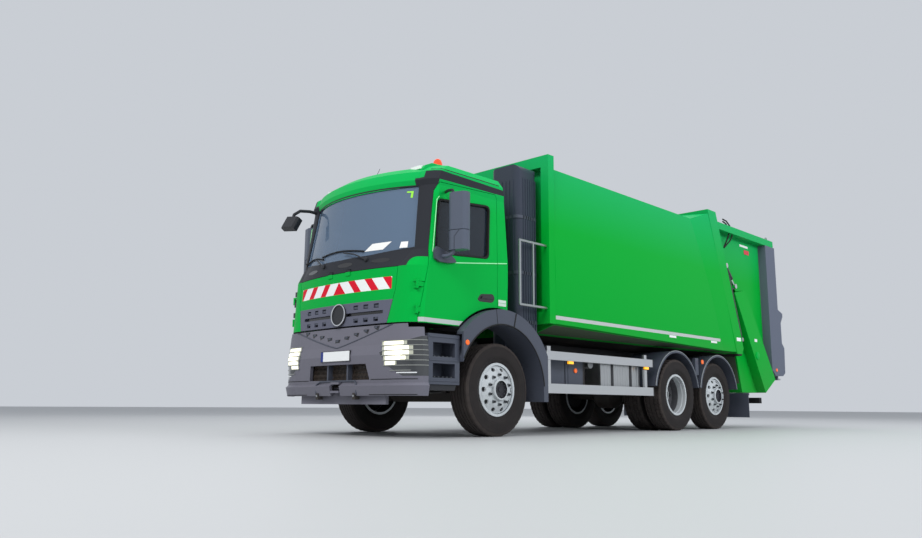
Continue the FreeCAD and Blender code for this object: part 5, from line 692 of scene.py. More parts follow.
def tyre_profile(kind):
    """(across, radius, is tread) from the inner bead round the outside to the outer bead."""
    side = [(0.104, 0.2905), (0.112, 0.297), (0.117, 0.312), (0.131, 0.332), (0.1435, 0.362),
            (0.1465, 0.366), (0.1465, 0.378), (0.149, 0.383), (0.1485, 0.418), (0.1465, 0.45),
            (0.1425, 0.473), (0.1435, 0.477), (0.1405, 0.489), (0.1345, 0.505), (0.1285, 0.5165)]
    grooves = (0.034, 0.094) if kind == "block" else (0.0, 0.045, 0.09)
    half_groove, floor = 0.0055, TYRE_RADIUS - 0.014
    half_floor = half_groove * 0.7
    tread = [(-0.122, TYRE_RADIUS - 0.002)]
    for g in sorted({s * g for g in grooves for s in (1, -1)}):
        top = TYRE_RADIUS - abs(g) * 0.012
        groove = ((-half_groove, top), (-half_floor, floor), (half_floor, floor), (half_groove, top))
        tread += [(g + across, radius) for across, radius in groove]
    tread.append((0.122, TYRE_RADIUS - 0.002))
    left = [(-x, r, False) for x, r in side]
    right = [(x, r, False) for x, r in reversed(side)]
    return left + [(x, r, True) for x, r in tread] + right


def tyre(shape, middle, kind):
    """One tyre round the X axis, with grooves and cross cuts in its tread."""
    profile = tyre_profile(kind)
    cut_from, deep = (0.09, 0.004) if kind == "rib" else (0.03, 0.009)
    points, faces, tread_faces = [], [], []
    for step, angle in enumerate(angles(TREAD_STEPS)):
        for x, radius, is_tread in profile:
            shoulder = is_tread or radius > 0.5
            if shoulder and abs(x) > cut_from and (step + (2 if x > 0 else 0)) % 4 == 0:
                radius -= deep
            points.append((middle[0] + x, middle[1] + radius * math.sin(angle),
                           middle[2] - radius * math.cos(angle)))
    width = len(profile)
    for step in range(TREAD_STEPS):
        here, after = step * width, (step + 1) % TREAD_STEPS * width
        for column in range(width - 1):
            face = (here + column, here + column + 1, after + column + 1, after + column)
            on_tread = profile[column][2] or profile[column + 1][2] or profile[column][1] > 0.495
            (tread_faces if on_tread else faces).append(face)
    shape.add(points, faces, "sidewall")
    shape.add(points, tread_faces, "tread_rubber")


def holed_cone(shape, centre, sign, outer, inner, material):
    """A cone between two (across, radius) corners, with ten oval hand holes."""
    holes, steps, depth = 10, 40, 0.02

    def place(angle, share, deep=0.0):
        across = outer[0] + (inner[0] - outer[0]) * share - deep
        return round_about(centre, outer[1] + (inner[1] - outer[1]) * share, angle, sign * across)

    half = math.pi / holes
    for number in range(holes):
        middle = 2 * half * number
        wall, oval, ring, edge = [], [], [], []
        for angle in spread(0, 2 * math.pi, steps + 1):
            u, v = math.cos(angle), math.sin(angle)
            reach = 1 / max(abs(u), abs(v))
            near = (middle + 0.125 * u, 0.46 + 0.33 * v)
            far = (middle + half * u * reach, 0.5 + 0.5 * v * reach)
            wall.append(place(*near, depth))
            oval.append(place(*near))
            ring.append(place((near[0] + far[0]) / 2, (near[1] + far[1]) / 2))
            edge.append(place(*far))
        shape.strip([wall, oval, ring, edge], material)


def rim(axle, side, sign, reach, station, offsets):
    """Lips, barrel, disc with hand holes, drum, hub and nuts, for the plain rim."""
    shape = Shape()
    centre = Vector((sign * reach, station, AXLE_HEIGHT))
    out = Vector((sign, 0, 0))
    twin = len(offsets) > 1
    root, face, nose = (0.0724, 0.011, 0.105) if twin else (0.108, 0.15, 0.188)

    def ring(profile, material, segments=96):
        shape.turned(profile, centre, out, material, segments)

    lip = [(0.1126, 0.286), (0.1126, 0.3034), (0.121, 0.3034), (0.1236, 0.301), (0.1236, 0.274)]
    lips = [(-across, radius) for across, radius in reversed(lip)] + lip
    for offset in offsets:
        ring([(across + offset, radius) for across, radius in lips], "rim")
    ends = offsets[0] - 0.1236, offsets[-1] + 0.1236
    deep = root + 0.1 if twin else root
    # The twin wheels' deep disc takes painted shade
    disc = "dish" if twin else "rim"
    ring([(ends[1], 0.274), (ends[1] - 0.05, 0.274), (ends[1] - 0.056, 0.268), (deep, 0.268)], "rim")
    ring([(deep, 0.268), (root, 0.268), (root, 0.262)], disc)
    drum = (-0.2524, -0.0724) if twin else (-0.025, 0.06)
    plate = face - 0.022
    back = [(ends[0], 0.274), (root - 0.022, 0.274), (root - 0.022, 0.262), (plate, 0.19), (plate, 0.138)]
    if twin:
        back = [(ends[0], 0.274), (-root, 0.274), (-root, 0.262), (-0.011, 0.19), (-0.011, 0.138)]
        ring([(0.0514, 0.262), (0.0, 0.214), (-0.0514, 0.262)], "rim_shade", 64)
    # Painted shade: the back of the rim and the drum, like the gap between twins above, laid near black
    ring(back, "rim_shade", 64)
    ring([(drum[1], 0.138), (drum[1], 0.196), (drum[0], 0.196), (drum[0], 0.066)], "rim_shade", 48)
    holed_cone(shape, centre, sign, (root, 0.262), (face - 0.004, 0.196), disc)
    ring([(face - 0.004, 0.196), (face, 0.188), (face, 0.119)], "rim")
    ring([(face, 0.119), (nose - 0.006, 0.119), (nose, 0.113), (nose, 0.1)], "rim", 64)
    hub = nose - 0.026
    ring([(nose, 0.1), (hub, 0.096), (hub, 0.03), (nose - 0.018, 0.026), (nose - 0.018, 0)], "hub_dark", 64)
    for angle in angles(10):
        bolt = round_about(centre + out * hub, 0.078, angle)
        shape.rod(bolt, bolt + out * 0.01, 0.0075, "nut", 6)
    for angle in angles(10, 0.5):
        nut = round_about(centre + out * face, 0.1675, angle)
        for start, end, *finish in NUT_PARTS:
            shape.rod(nut + out * start, nut + out * end, *finish)
    valve = centre + out * (face - 0.02) + Vector((0, 0.205, 0))
    shape.rod(valve, valve + out * 0.04, 0.005, "chrome", 8)
    item = shape.build(f"rim_{axle}_{side}", f"wheel_{axle}_{side}", "rim_silver")
    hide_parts(f"wheel_{axle}_{side}")


def wheels():
    for axle, (reach, station, offsets, kind) in WHEELS.items():
        for side, sign in SIDES:
            shape = Shape()
            for offset in offsets:
                tyre(shape, (sign * reach + sign * offset, station, AXLE_HEIGHT), kind)
            item = shape.build(f"tread_{axle}_{side}", f"wheel_{axle}_{side}", "tyre_rubber", crease=25)
            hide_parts(f"tyre_{axle}_{side}")
            rim(axle, side, sign, reach, station, offsets)


# Front of the cab and bumper

def grille_parts():
    """Dark backs behind the vents as painted shade, a scoop in each one, and the plain round disc."""
    outside = surface_of("grille")
    shape = Shape()
    scoop = [(-0.034, 0.004), (-0.004, -0.004), (0.03, 0.006), (0.03, 0.02), (-0.034, 0.02)]
    for level in (1.265, 1.392):
        for share in (0.25, 0.39, 0.53):
            for _, sign in SIDES:
                x = 1.15 * share * sign
                y = (ahead(outside, x + 0.05 * sign, level + 0.03) or ahead(outside, x, level + 0.045)).y
                # Painted shade: a black back behind each vent
                shape.block((x - 0.04, y + 0.028, level - 0.026), (x + 0.04, y + 0.034, level + 0.026),
                            "gloss_black")
                outline = [(x + sign * across, y + back) for across, back in scoop[::sign]]
                shape.prism(outline, "z", (level - 0.006, level + 0.019), "fender")
    # Painted shade: a black strip behind the horizontal slot
    slot = [(x, ahead(outside, x, 1.3535)) for x in spread(-0.7, 0.7, 41)]
    rows = [[Vector((x, (hit.y if hit else -4.7) + 0.03, z)) for x, hit in slot] for z in (1.309, 1.349)]
    shape.strip(rows, "gloss_black")
    shape.build("grille_scoops", "flap", "plastic_dark", crease=40)
    disc = Shape()
    centre = Vector((0, (ahead(outside, 0, 1.29) or Vector((0, -4.75, 1.33))).y, 1.338))
    forward = Vector((0, -1, 0.04))
    profile = [(-0.02, 0), (-0.02, 0.128), (0.012, 0.128), (0.02, 0.119), (0.02, 0.11),
               (0.011, 0.105), (0.011, 0)]
    disc.turned(profile, centre, forward, "black", 56)
    turn = forward.to_track_quat("X", "Z").to_matrix()
    ring = [centre + forward * 0.02 + turn @ round_about((0, 0, 0), 0.119, angle) for angle in angles(64)]
    disc.tube(ring, 0.008, "chrome", 12, closed=True)
    disc.build("front_disc", "flap", "plastic_dark")


def bumper_parts():
    """Vents in a V with their insides in painted shade, mesh in the intake over a back in painted shade,
    blank plate, step and brackets.
    """
    outside = surface_of("front_bumper", "headlamps")
    shape = Shape()
    vent = [(-0.045, -0.026), (0.0315, -0.026), (0.045, 0.02), (-0.0405, 0.02)]
    for index in range(-4, 5):
        x, level = index * 0.155, 1.04 + abs(index) * 0.03
        hit = ahead(outside, x, level, 0.001)
        if hit:
            way = -1 if index < 0 else 1
            outline = [(x + way * across, level + up) for across, up in vent[::way]]
            # Painted shade: the vent's inside as a black block
            shape.prism(outline, "y", (hit.y - 0.001, hit.y + 0.03), "gloss_black")
            lid = [(px * 0.55 + x * 0.45, pz * 0.4 + (level + 0.012) * 0.6) for px, pz in outline]
            shape.prism(lid, "y", (hit.y - 0.007, hit.y + 0.01), "fender")
    for _, sign in SIDES:
        seam = met(ahead(outside, sign * 0.86 * share, min(0.965 + 0.225 * share ** 1.15, 1.185))
                   for share in spread(0, 1, 24))
        shape.tube(seam, 0.007, "fender", 8)
    shape.build("bumper_vents", "vehicle", "plastic_grey")
    mesh = Shape()
    back = 0.12 - HALF_LENGTH
    # Painted shade: a black sheet behind the mesh
    mesh.block((-0.56, back, 0.6), (0.56, back + 0.006, 0.8), "gloss_black")
    pitch, lean = 0.024, 0.045
    for index in range(int(1.08 / pitch)):
        x = -0.54 + index * pitch
        for low, high, proud in ((x, x + lean, 0.012), (x + lean, x, 0.014)):
            start, end = (low, back - proud, 0.605), (high, back - proud, 0.79)
            mesh.bar(start, end, 0.004, 0.004, "mesh", up=REARWARD)
    for x in (-0.19, 0.165):
        mesh.block((x, back - 0.075, 0.6), (x + 0.025, back, 0.8), "fender")
    mesh.build("intake_mesh", "vehicle", "plastic_dark")
    plate = Shape()
    y = ahead(outside, 0.0, 0.872).y - 0.0005
    plate.block((-0.262, y - 0.0025, 0.815), (0.262, y + 0.03, 0.932), "black")
    plate.block((-0.215, y - 0.004, 0.82), (0.258, y, 0.927), "white")
    plate.block((-0.258, y - 0.004, 0.82), (-0.215, y, 0.927), "blue")
    plate.build("front_plate", "vehicle", "plastic_grey")
    low = Shape()
    arch = ((-0.36, 0.455), (-0.36, 0.56), (-0.31, 0.6), (0.31, 0.6), (0.36, 0.56), (0.36, 0.455))
    low.tube(met(ahead(outside, x, z, 0.004) for x, z in arch), 0.011, "fender", 10)
    for _, sign in SIDES:
        x = sign * 0.33
        y = (ahead(outside, x, 0.44) or at(x, 0.09, 0.44)).y
        low.block((x - 0.022, y - 0.018, 0.4), (x + 0.022, y + 0.05, 0.47), "frame_steel")
        low.rod((x, y - 0.024, 0.44), (x, y, 0.44), 0.011, "zinc", 12)
    for z in (0.452, 0.612):
        for _, sign in SIDES:
            seam = met(ahead(outside, sign * x, z, 0.0005) for x in spread(0.56, 1.16, 20))
            if len(seam) > 2:
                low.tube(seam, 0.004, "rubber", 6)
    low.build("bumper_trim", "vehicle", "plastic_grey")


LAMP_X = 0.62
LAMP_STATION = 0.42


def lamp_fan(tree, sign, z, first, last, count, lift):
    """Points over the lamp's surface, walking round the corner at one height."""
    centre = at(sign * LAMP_X, LAMP_STATION, z)
    path = []
    for angle in spread(first, last, count):
        out = Vector((sign * math.sin(math.radians(angle)), -math.cos(math.radians(angle)), 0))
        path.append(touched(tree, centre + out * 1.2, -out, lift))
    return met(path)


def headlamp_parts():
    """Thin bars across the dark lamps, with the lit part between them."""
    tree = surface_of("headlamps", "front_bumper")
    foot, pitch = 0.7, 0.052
    shares = (0.0, 0.1, 0.24, 0.74, 0.9, 1.0)
    for side, sign in SIDES:
        bars = Shape()
        for row in range(7):
            z = foot + row * pitch
            first, last = (22 - row * 1.4, 84) if row else (34, 60)
            path = lamp_fan(tree, sign, z, first, last, 22, 0.006)
            if len(path) > 2:
                middle = at(sign * LAMP_X, LAMP_STATION, z)
                inner = [p + (middle - p).normalized() * 0.012 for p in path]
                bars.strip([inner, raised(path, -0.0045), raised(path, 0.0045), inner], "lamp_bar")
        edge = lamp_fan(tree, sign, 0.676, 44, 66, 12, 0.004)
        if len(edge) > 2:
            bars.strip([raised(edge, -0.006), raised(edge, 0.006)], "clear_lens")
        bars.build(f"lamp_bars_{side}", "vehicle", "plastic_dark")
        light = Shape()
        for row, last in enumerate((44, 58, 62, 62, 56), 1):
            z = foot + (row + 0.5) * pitch
            start = 24 - row * 1.4
            span = last - start
            core = "soft_light" if row in (1, 5) else "warm_light"
            parts = ("dim_light", "soft_light", core, "soft_light", "dim_light")
            for low, high, chosen in zip(shares, shares[1:], parts):
                rows = [lamp_fan(tree, sign, z + dz, start + span * low, start + span * high, 9, 0.0025)
                        for dz in (-0.02, 0.0, 0.02)]
                if all(len(path) == 9 for path in rows):
                    light.strip(rows, chosen)
        light.build(f"lamp_lights_{side}", "vehicle", "lamp")


def wipers():
    """Two arms with blades, resting low on the windscreen, and painted shade for the recesses below them.
    """
    outside = surface_of("cab_shell", "cab_glass")
    shape = Shape()
    boss = [(-0.012, 0.0), (-0.012, 0.026), (0.014, 0.022), (0.018, 0.0)]
    for pivot, tip in ((0.42, -0.38), (-0.34, -0.92)):
        base = ahead(outside, pivot, 1.93, 0.012)
        shape.turned(boss, base, (0, -1, 0.2), "black", 20)
        knee = ahead(outside, pivot * 0.4 + tip * 0.6 + 0.1, 2.045, 0.03)
        arm = [base + Vector((0, -0.012, 0)), (base + knee) / 2 + Vector((0, -0.02, 0.02)), knee]
        shape.tube(arm, 0.008, "black", 8)
        blade = met(ahead(outside, pivot - 0.07 + (tip - pivot) * share,
                          2.035 + 0.03 * math.sin(math.pi * share) + 0.03 * share, 0.011)
                    for share in spread(0, 1, 13))
        shape.tube(blade, 0.009, "rubber", 8)
    shape.build("wiper_set", "cab", "plastic_dark")
    # Painted shade: flat black ovals where the recesses are
    dark = Shape()
    for x in (-0.62, 0.08, 0.62):
        places = (x, 1.9), (x + 0.05, 1.9), (x, 1.93)
        hit, slope, high = (ahead(outside, *place, 0.001) for place in places)
        along, up = (slope - hit).normalized(), (high - hit).normalized()
        outline = [hit + along * 0.13 * math.cos(a) + up * 0.027 * math.sin(a) for a in angles(20)]
        dark.add(outline, [tuple(range(20))], "gloss_black")
    dark.build("wiper_recess_shade", "cab", "plastic_dark")


def roof_fittings():
    """Beacons and kerb mirror for the plain fittings, with aerial and pods."""
    shape = Shape()
    roof = surface_of("cab_shell")
    socket = [(0, 0), (0, 0.072), (0.05, 0.066), (0.066, 0.06), (0.066, 0)]
    dome = [(0.064, 0.0), (0.064, 0.059), (0.13, 0.056), (0.162, 0.046), (0.182, 0.026), (0.188, 0)]
    for _, sign in SIDES:
        base = above(roof, sign * 0.56, 1.02) or at(sign * 0.56, 1.02, 3.095)
        base.z -= 0.002
        shape.turned(socket, base, UP, "black", 32)
        shape.turned(dome, base, UP, "beacon", 32)
    arm = [(-0.989, 0.43, 2.745), (-1.02, 0.3, 2.76), (-1.035, 0.17, 2.745),
           (-1.06, 0.1, 2.69), (-1.07, 0.08, 2.6)]
    shape.tube([at(*p) for p in arm], 0.02, "black", 12)
    head = Shape()
    outline = [(-0.11, -0.035), (-0.085, -0.06), (0.085, -0.06), (0.11, -0.035), (0.11, 0.03),
               (-0.11, 0.03)]
    head.prism(outline, "z", (-0.085, 0.085), "black")
    turn = Matrix.Rotation(math.radians(-28), 4, "X") @ Matrix.Rotation(math.radians(12), 4, "Z")
    matrix = Matrix.Translation(at(-1.07, 0.08, 2.56)) @ turn
    shape.add([matrix @ p for p in head.points], head.faces, "black")
    item = shape.build("roof_fittings", "cab", "plastic_dark", bevel=0.004)
    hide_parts("cab_fittings")
    extra = Shape()
    foot = above(roof, -0.62, 0.95)
    extra.turned([(0, 0), (0, 0.03), (0.02, 0.018), (0.03, 0.008), (0.03, 0)], foot, UP, "black", 16)
    extra.tube([foot + Vector((0, 0, 0.02)), foot + Vector((0, 0.16, 0.33))], 0.0035, "black", 6)
    pod = [(0.46, -0.05), (0.5, 0.0), (0.6, 0.045), (0.78, 0.055), (0.98, 0.045),
           (1.1, -0.02), (1.1, -0.09), (0.46, -0.09)]
    for _, sign in SIDES:
        level = (above(roof, sign * 0.78, 0.6) or at(0, 0, 3.01)).z - 0.01
        x0, x1 = sorted((sign * 0.66, sign * 0.9))
        extra.slab([(station, level + z) for station, z in pod], (x0, x1), "green")
        extra.block(at(x0 + 0.04, 0.455, level - 0.045), at(x1 - 0.04, 0.5, level - 0.005), "white")
    extra.build("roof_pods", "cab", "body_green", bevel=0.02)


# Sides of the cab

def door_parts():
    """Window seals, painted highlights along the waist line and the window's front edge, handle and mirror
    base on each door.
    """
    ring = rounded_path([(0.406, 1.955), (0.462, 2.575), (1.31, 2.648), (1.29, 2.015)], 0.07, 7)
    inner = rounded_path([(0.428, 1.975), (0.482, 2.555), (1.29, 2.626), (1.268, 2.033)], 0.055, 7)
    handle = [(1.095, 1.53), (1.145, 1.592), (1.362, 1.612), (1.392, 1.555), (1.345, 1.508), (1.125, 1.504)]
    grip = [(1.15, 1.54), (1.17, 1.572), (1.36, 1.584), (1.372, 1.552)]
    base = [(0.4, 1.895), (0.385, 1.985), (0.42, 2.03), (0.6, 1.985), (0.7, 1.925),
            (0.72, 1.892), (0.62, 1.872), (0.46, 1.868)]
    waist = ((0.73, 1.893), (1.425, 1.978))
    front = ((0.385, 1.97), (0.44, 2.56), (0.475, 2.6))
    for side, sign in SIDES:
        shape = Shape()
        rows = [placed(sign * x, path) for x, path in ((1.1508, ring), (1.1508, inner), (1.12, inner))]
        shape.strip(looped(rows), "rubber")
        shape.slab(rounded_path(handle, 0.03, 5), (sign * 1.1495, sign * 1.1515), "gloss_black")
        shape.slab(rounded_path(grip, 0.012, 4), (sign * 1.1515, sign * 1.165), "gloss_black")
        shape.slab(base, (sign * 1.149, sign * 1.185), "fender")
        shape.build(f"door_trim_{side}", f"door_{side}", "plastic_dark", bevel=0.004)
        # Painted highlights along the waist ridge and the window's front edge
        line = Shape()
        line.tube(placed(sign * 1.151, waist), 0.0065, "highlight_green", 8)
        line.tube(placed(sign * 1.151, front), 0.0045, "highlight_green", 6)
        line.build(f"door_highlight_lines_{side}", f"door_{side}", "body_green")
        mirror_head(side, sign)


def mirror_head(side, sign):
    """The tall two-part mirror, turned a little outward, its glass to the rear, for the plain one."""
    shape = Shape()
    turn = math.radians(18)
    width, depth = 0.23, 0.12

    def spot(across, back):
        x = 1.265 + across * math.cos(turn) - back * math.sin(turn)
        return sign * x, 0.48 + across * math.sin(turn) + back * math.cos(turn) - HALF_LENGTH

    def section(corners):
        return [spot(*p) for p in rounded_path(corners, 0.03, 5)][::sign]

    outline = section([(0.0, 0.04), (0.045, 0.0), (width - 0.03, 0.002), (width, 0.05),
                       (width, depth), (0.0, depth)])
    for z0, z1 in ((1.987, 2.2), (2.206, 2.623)):
        shape.prism(outline, "z", (z0, z1), "mirror_body")
        face = [spot(0.014, depth + 0.0015), spot(width - 0.014, depth + 0.0015)]
        shape.strip([[Vector((x, y, z)) for x, y in face] for z in (z0 + 0.016, z1 - 0.016)], "mirror")
    core = section([(0.01, 0.05), (0.05, 0.012), (width - 0.04, 0.014), (width - 0.01, 0.06),
                    (width - 0.01, depth - 0.01), (0.01, depth - 0.01)])
    shape.prism(core, "z", (2.19, 2.215), "black")
    seam = [Vector((*spot(across, back), z))
            for across, back, z in ((0.09, -0.001, 1.99), (0.09, -0.001, 2.13), (0.15, 0.0, 2.2))]
    shape.tube(seam, 0.0025, "black", 6)
    lower = ((1.16, 0.5, 1.935), (1.24, 0.52, 1.93), (1.3, 0.54, 1.955), (1.315, 0.54, 1.99))
    upper = ((1.152, 0.575, 2.668), (1.21, 0.55, 2.668), (1.285, 0.54, 2.66), (1.31, 0.54, 2.62))
    for arm, radius, material in ((lower, 0.021, "mirror_body"), (upper, 0.017, "black")):
        shape.tube([at(sign * x, *p) for x, *p in arm], radius, material, 12)
    item = shape.build(f"mirror_set_{side}", f"door_{side}", "plastic_dark", bevel=0.008)
    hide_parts(f"mirror_{side}")


def cab_lines():
    """Seams, hatch, labels, a painted highlight line and corner slots in painted shade on the cab shell."""
    roof = surface_of("cab_shell")
    shape = Shape()
    for _, sign in SIDES:
        path = met(beside(roof, sign, station, 2.925, 0.001) for station in spread(0.45, 1.55, 16))
        if len(path) > 2:
            shape.tube(path, 0.006, "black", 6)
    hatch = above(roof, 0, 0.95)
    if hatch:
        shape.block(at(-0.36, 0.75, hatch.z - 0.02), at(0.36, 1.25, hatch.z + 0.012), "black")
    shape.build("cab_trim", "cab", "plastic_dark", bevel=0.004)
    label = Shape()
    for _, sign in SIDES:
        for z in (1.485, 1.523):
            label.flank(sign, (1.1495, 1.1515), (1.455, 1.59), (z, z + 0.034), "label")
    # Painted highlight: the waist ridge's bright line carried on from the door
    for _, sign in SIDES:
        label.tube([at(sign * 1.151, 1.44, 1.98), at(sign * 1.151, 1.6, 2.0)], 0.0065, "highlight_green", 8)
    label.build("cab_labels_and_highlight", "cab", "body_green")
    # Painted shade: black blocks for the slots in the corner
    slots = Shape()
    for z in spread(1.42, 1.68, 3):
        hit = ahead(roof, -1.02, z)
        if hit:
            slots.block((-1.05, hit.y - 0.004, z - 0.03), (-0.98, hit.y + 0.05, z + 0.03), "gloss_black")
    slots.build("corner_slot_shade", "cab", "plastic_dark")


def interior():
    """Seats and dashboard seen through the glass, with the papers on it."""
    shape = Shape()
    seat = (([(0.87, 1.5), (0.87, 1.8), (1.2, 1.83), (1.22, 1.5)], 0.06, 5, 0.235),
            ([(1.19, 1.75), (1.14, 1.82), (1.2, 2.42), (1.3, 2.44), (1.335, 2.38), (1.335, 1.75)],
             0.05, 5, 0.225),
            ([(1.2, 2.43), (1.19, 2.47), (1.21, 2.66), (1.29, 2.67), (1.32, 2.46)], 0.04, 4, 0.13))
    for x in (0.56, -0.56):
        for corners, radius, steps, half in seat:
            shape.slab(rounded_path(corners, radius, steps), (x - half, x + half), "seat_cloth")
    shape.build("seat_covers", "cab", "plastic_dark", bevel=0.02)
    dash = Shape()
    hood = [(0.5, 1.76), (0.5, 1.84), (0.58, 1.9), (0.76, 1.92), (0.79, 1.86), (0.79, 1.76)]
    dash.slab(rounded_path(hood, 0.04, 5), (0.3, 0.85), "black")
    dash.block(at(-0.75, 0.5, 1.79), at(0.25, 0.76, 1.835), "charcoal")
    dash.build("dash_top", "cab", "plastic_dark", bevel=0.01)
    papers = Shape()
    screen = surface_of("cab_glass")
    sheets = (((0.35, 2.03), (0.6, 2.03), (0.7, 2.115), (0.45, 2.11), "paper"),
              ((0.8, 2.03), (0.89, 2.03), (0.89, 2.1), (0.81, 2.1), "paper"),
              ((0.79, 2.672), (0.79, 2.69), (0.86, 2.69), (0.86, 2.672), "lime"),
              ((0.838, 2.61), (0.838, 2.69), (0.862, 2.69), (0.862, 2.61), "lime"))
    for *corners, material in sheets:
        a, b, c, d = (Vector(corner) for corner in corners)
        rows = []
        for v in spread(0, 1, 6):
            places = [(a * (1 - u) + b * u) * (1 - v) + (d * (1 - u) + c * u) * v for u in spread(0, 1, 6)]
            rows.append([ahead(screen, p.x, p.y, 0.002) for p in places])
        if all(hit for row in rows for hit in row):
            papers.strip(rows, material)
    papers.build("screen_papers", "cab", "plastic_dark")


def fender_parts():
    """Seams, side lamps and step treads of the front fenders."""
    centre = Vector((0, FRONT_AXLE, AXLE_HEIGHT))
    sill = [(0.34, 0.56), (0.36, 0.5), (0.72, 0.5), (0.74, 0.56)]
    for side, sign in SIDES:
        shape = Shape()
        for lean, width in ((-0.11 / 0.75, 0.006), (0.18 / 0.75, 0.02)):
            ends = (centre + Vector((sign * 1.2515, lean * radius, math.sqrt(1 - lean ** 2) * radius))
                    for radius in (0.73, 0.906))
            shape.bar(*ends, width, 0.003, "rubber", up=(1, 0, 0))
        lamp = round_about(centre, 0.785, math.radians(141), sign * 1.25)
        shape.lens(lamp, (sign, 0, 0), 0.03, 0.027, 0.008, 0.011, "orange")
        shape.tube(arc(centre, 0.735, 4, 154, 41, sign * 1.2505), 0.008, "rubber", 8)
        for level in (0.635, 0.85):
            for station in spread(0.39, 0.638, 5):
                heights = level, level + 0.008
                shape.flank(sign, (1.0, 1.185), (station, station + 0.022), heights, "step_tread")
        for z in (0.6, 0.815, 1.06):
            shape.flank(sign, (1.188, 1.196), (0.31, 0.76), (z - 0.008, z + 0.008), "fender")
        shape.slab(sill, (sign * 1.0, sign * 1.17), "black")
        shape.build(f"fender_trim_{side}", "vehicle", "plastic_grey", bevel=0.003)


# Between the wheels

def tank_parts():
    """Ribs, straps and cap of the fuel tank."""
    shape = Shape()
    x0, x1, z0, z1 = 0.5, 1.12, 0.52, 1.0

    def hoop(station, half, out):
        corners = [(x0 - out, z0 - out), (x0 - out, z1 + out), (x1 + out, z1 + out), (x1 + out, z0 - out)]
        return [at(x, station + half, z) for x, z in rounded_path(corners, 0.1, 6)]

    rib = ((-0.02, 0.0), (-0.012, 0.006), (0.012, 0.006), (0.02, 0.0))
    strap = ((-0.028, 0.004), (-0.028, 0.0105), (0.028, 0.0105), (0.028, 0.004))
    bands = ((spread(3.6, 4.5, 15), rib, "tank"), ((3.83, 4.2906), strap, "black"))
    for stations, section, material in bands:
        for station in stations:
            shape.strip(looped([hoop(station, *p) for p in section]), material)
    shape.rod(at(0.98, 3.86, 0.99), at(0.98, 3.86, 1.045), 0.055, "black", 24)
    shape.build("tank_ribs", "vehicle", "tank_metal")


def guard_parts():
    """End caps and lamps of the side guards, with the gear behind them."""
    for side, sign in SIDES:
        shape = Shape()
        for station in (2.232, 4.735):
            for heights in ((0.903, 1.012), (0.498, 0.617)):
                shape.flank(sign, (1.193, 1.227), (station, station + 0.014), heights, "black")
        for station in (2.76, 4.575):
            shape.flank(sign, (1.2, 1.2255), (station - 0.05, station + 0.05), (0.868, 0.9), "amber_lamp")
            shape.flank(sign, (1.19, 1.2), (station - 0.06, station + 0.06), (0.86, 0.904), "black")
        shape.flank(sign, (1.222, 1.2285), (2.228, 2.252), (0.51, 0.605), "orange")
        shape.build(f"guard_trim_{side}", "vehicle", "guard_metal")
    gear = Shape()
    for s0, s1 in ((2.46, 2.86), (2.88, 3.26)):
        gear.block(at(1.03, s0, 0.56), at(1.044, s1, 0.96), "fender")
        gear.block(at(1.044, s0 + 0.05, 0.6), at(1.05, s1 - 0.05, 0.92), "fender")
    gear.rod(at(1.05, 2.56, 0.94), at(1.062, 2.56, 0.94), 0.02, "zinc", 12)
    gear.rod(at(1.05, 3.08, 0.8), at(1.066, 3.08, 0.8), 0.03, "orange", 20)
    gear.rod(at(0.6, 3.42, 0.9), at(1.06, 3.42, 0.9), 0.06, "steel", 20)
    gear.build("box_lids", "vehicle", "dark_steel", bevel=0.006)


def mudguard_parts():
    """Light edges, lamps and the piece between the rear mudguards."""
    for side, sign in SIDES:
        shape = Shape()
        for axle in (DRIVE_AXLE, TAG_AXLE):
            edge, inner, lip = (arc((0, axle, AXLE_HEIGHT), radius, 11, 169, 49, sign * across)
                                for radius, across in ((0.6505, 1.229), (0.6505, 1.231), (0.625, 1.231)))
            shape.tube(edge, 0.007, "zinc", 8)
            shape.strip([inner, lip], "fender")
            shape.tube(lip, 0.006, "fender", 6)
        shape.lens(at(sign * 1.222, 6.25, 1.045), (sign, 0, 0), 0.036, 0.032, 0.01, 0.014, "orange")
        shape.flank(sign, (1.15, 1.2), (6.065, 6.165), (0.84, 1.1), "fender")
        shape.build(f"mudguard_edges_{side}", "vehicle", "plastic_grey")


# Body and tailgate

def body_parts():
    """White markers and the seam over the stripe, and the posts' patch and pin."""
    skin = surface_of("body_shell", "body_frames")
    shape = Shape()
    for _, sign in SIDES:
        for station in (5.32, 6.65):
            patch(shape, skin, sign, (station, 1.385), 0.1, (1.368, 1.4), 0.004, "white")
        seam = met(beside(skin, sign, station, 1.463, 0.001) for station in spread(2.44, 6.84, 24))
        shape.tube(seam, 0.004, "green", 6)
    shape.build("body_side_trim", "vehicle", "body_green")
    rear = Shape()
    pin = [(0, 0), (0, 0.034), (0.006, 0.034), (0.008, 0.028), (0.008, 0)]
    for _, sign in SIDES:
        rear.flank(sign, (1.2755, 1.272), (7.42, 7.58), (1.45, 1.51), "white")
        rear.turned(pin, at(sign * 1.2625, 7.672, 1.49), (sign, 0, 0), "zinc", 24)
    rear.build("post_trim", "vehicle", "body_green")


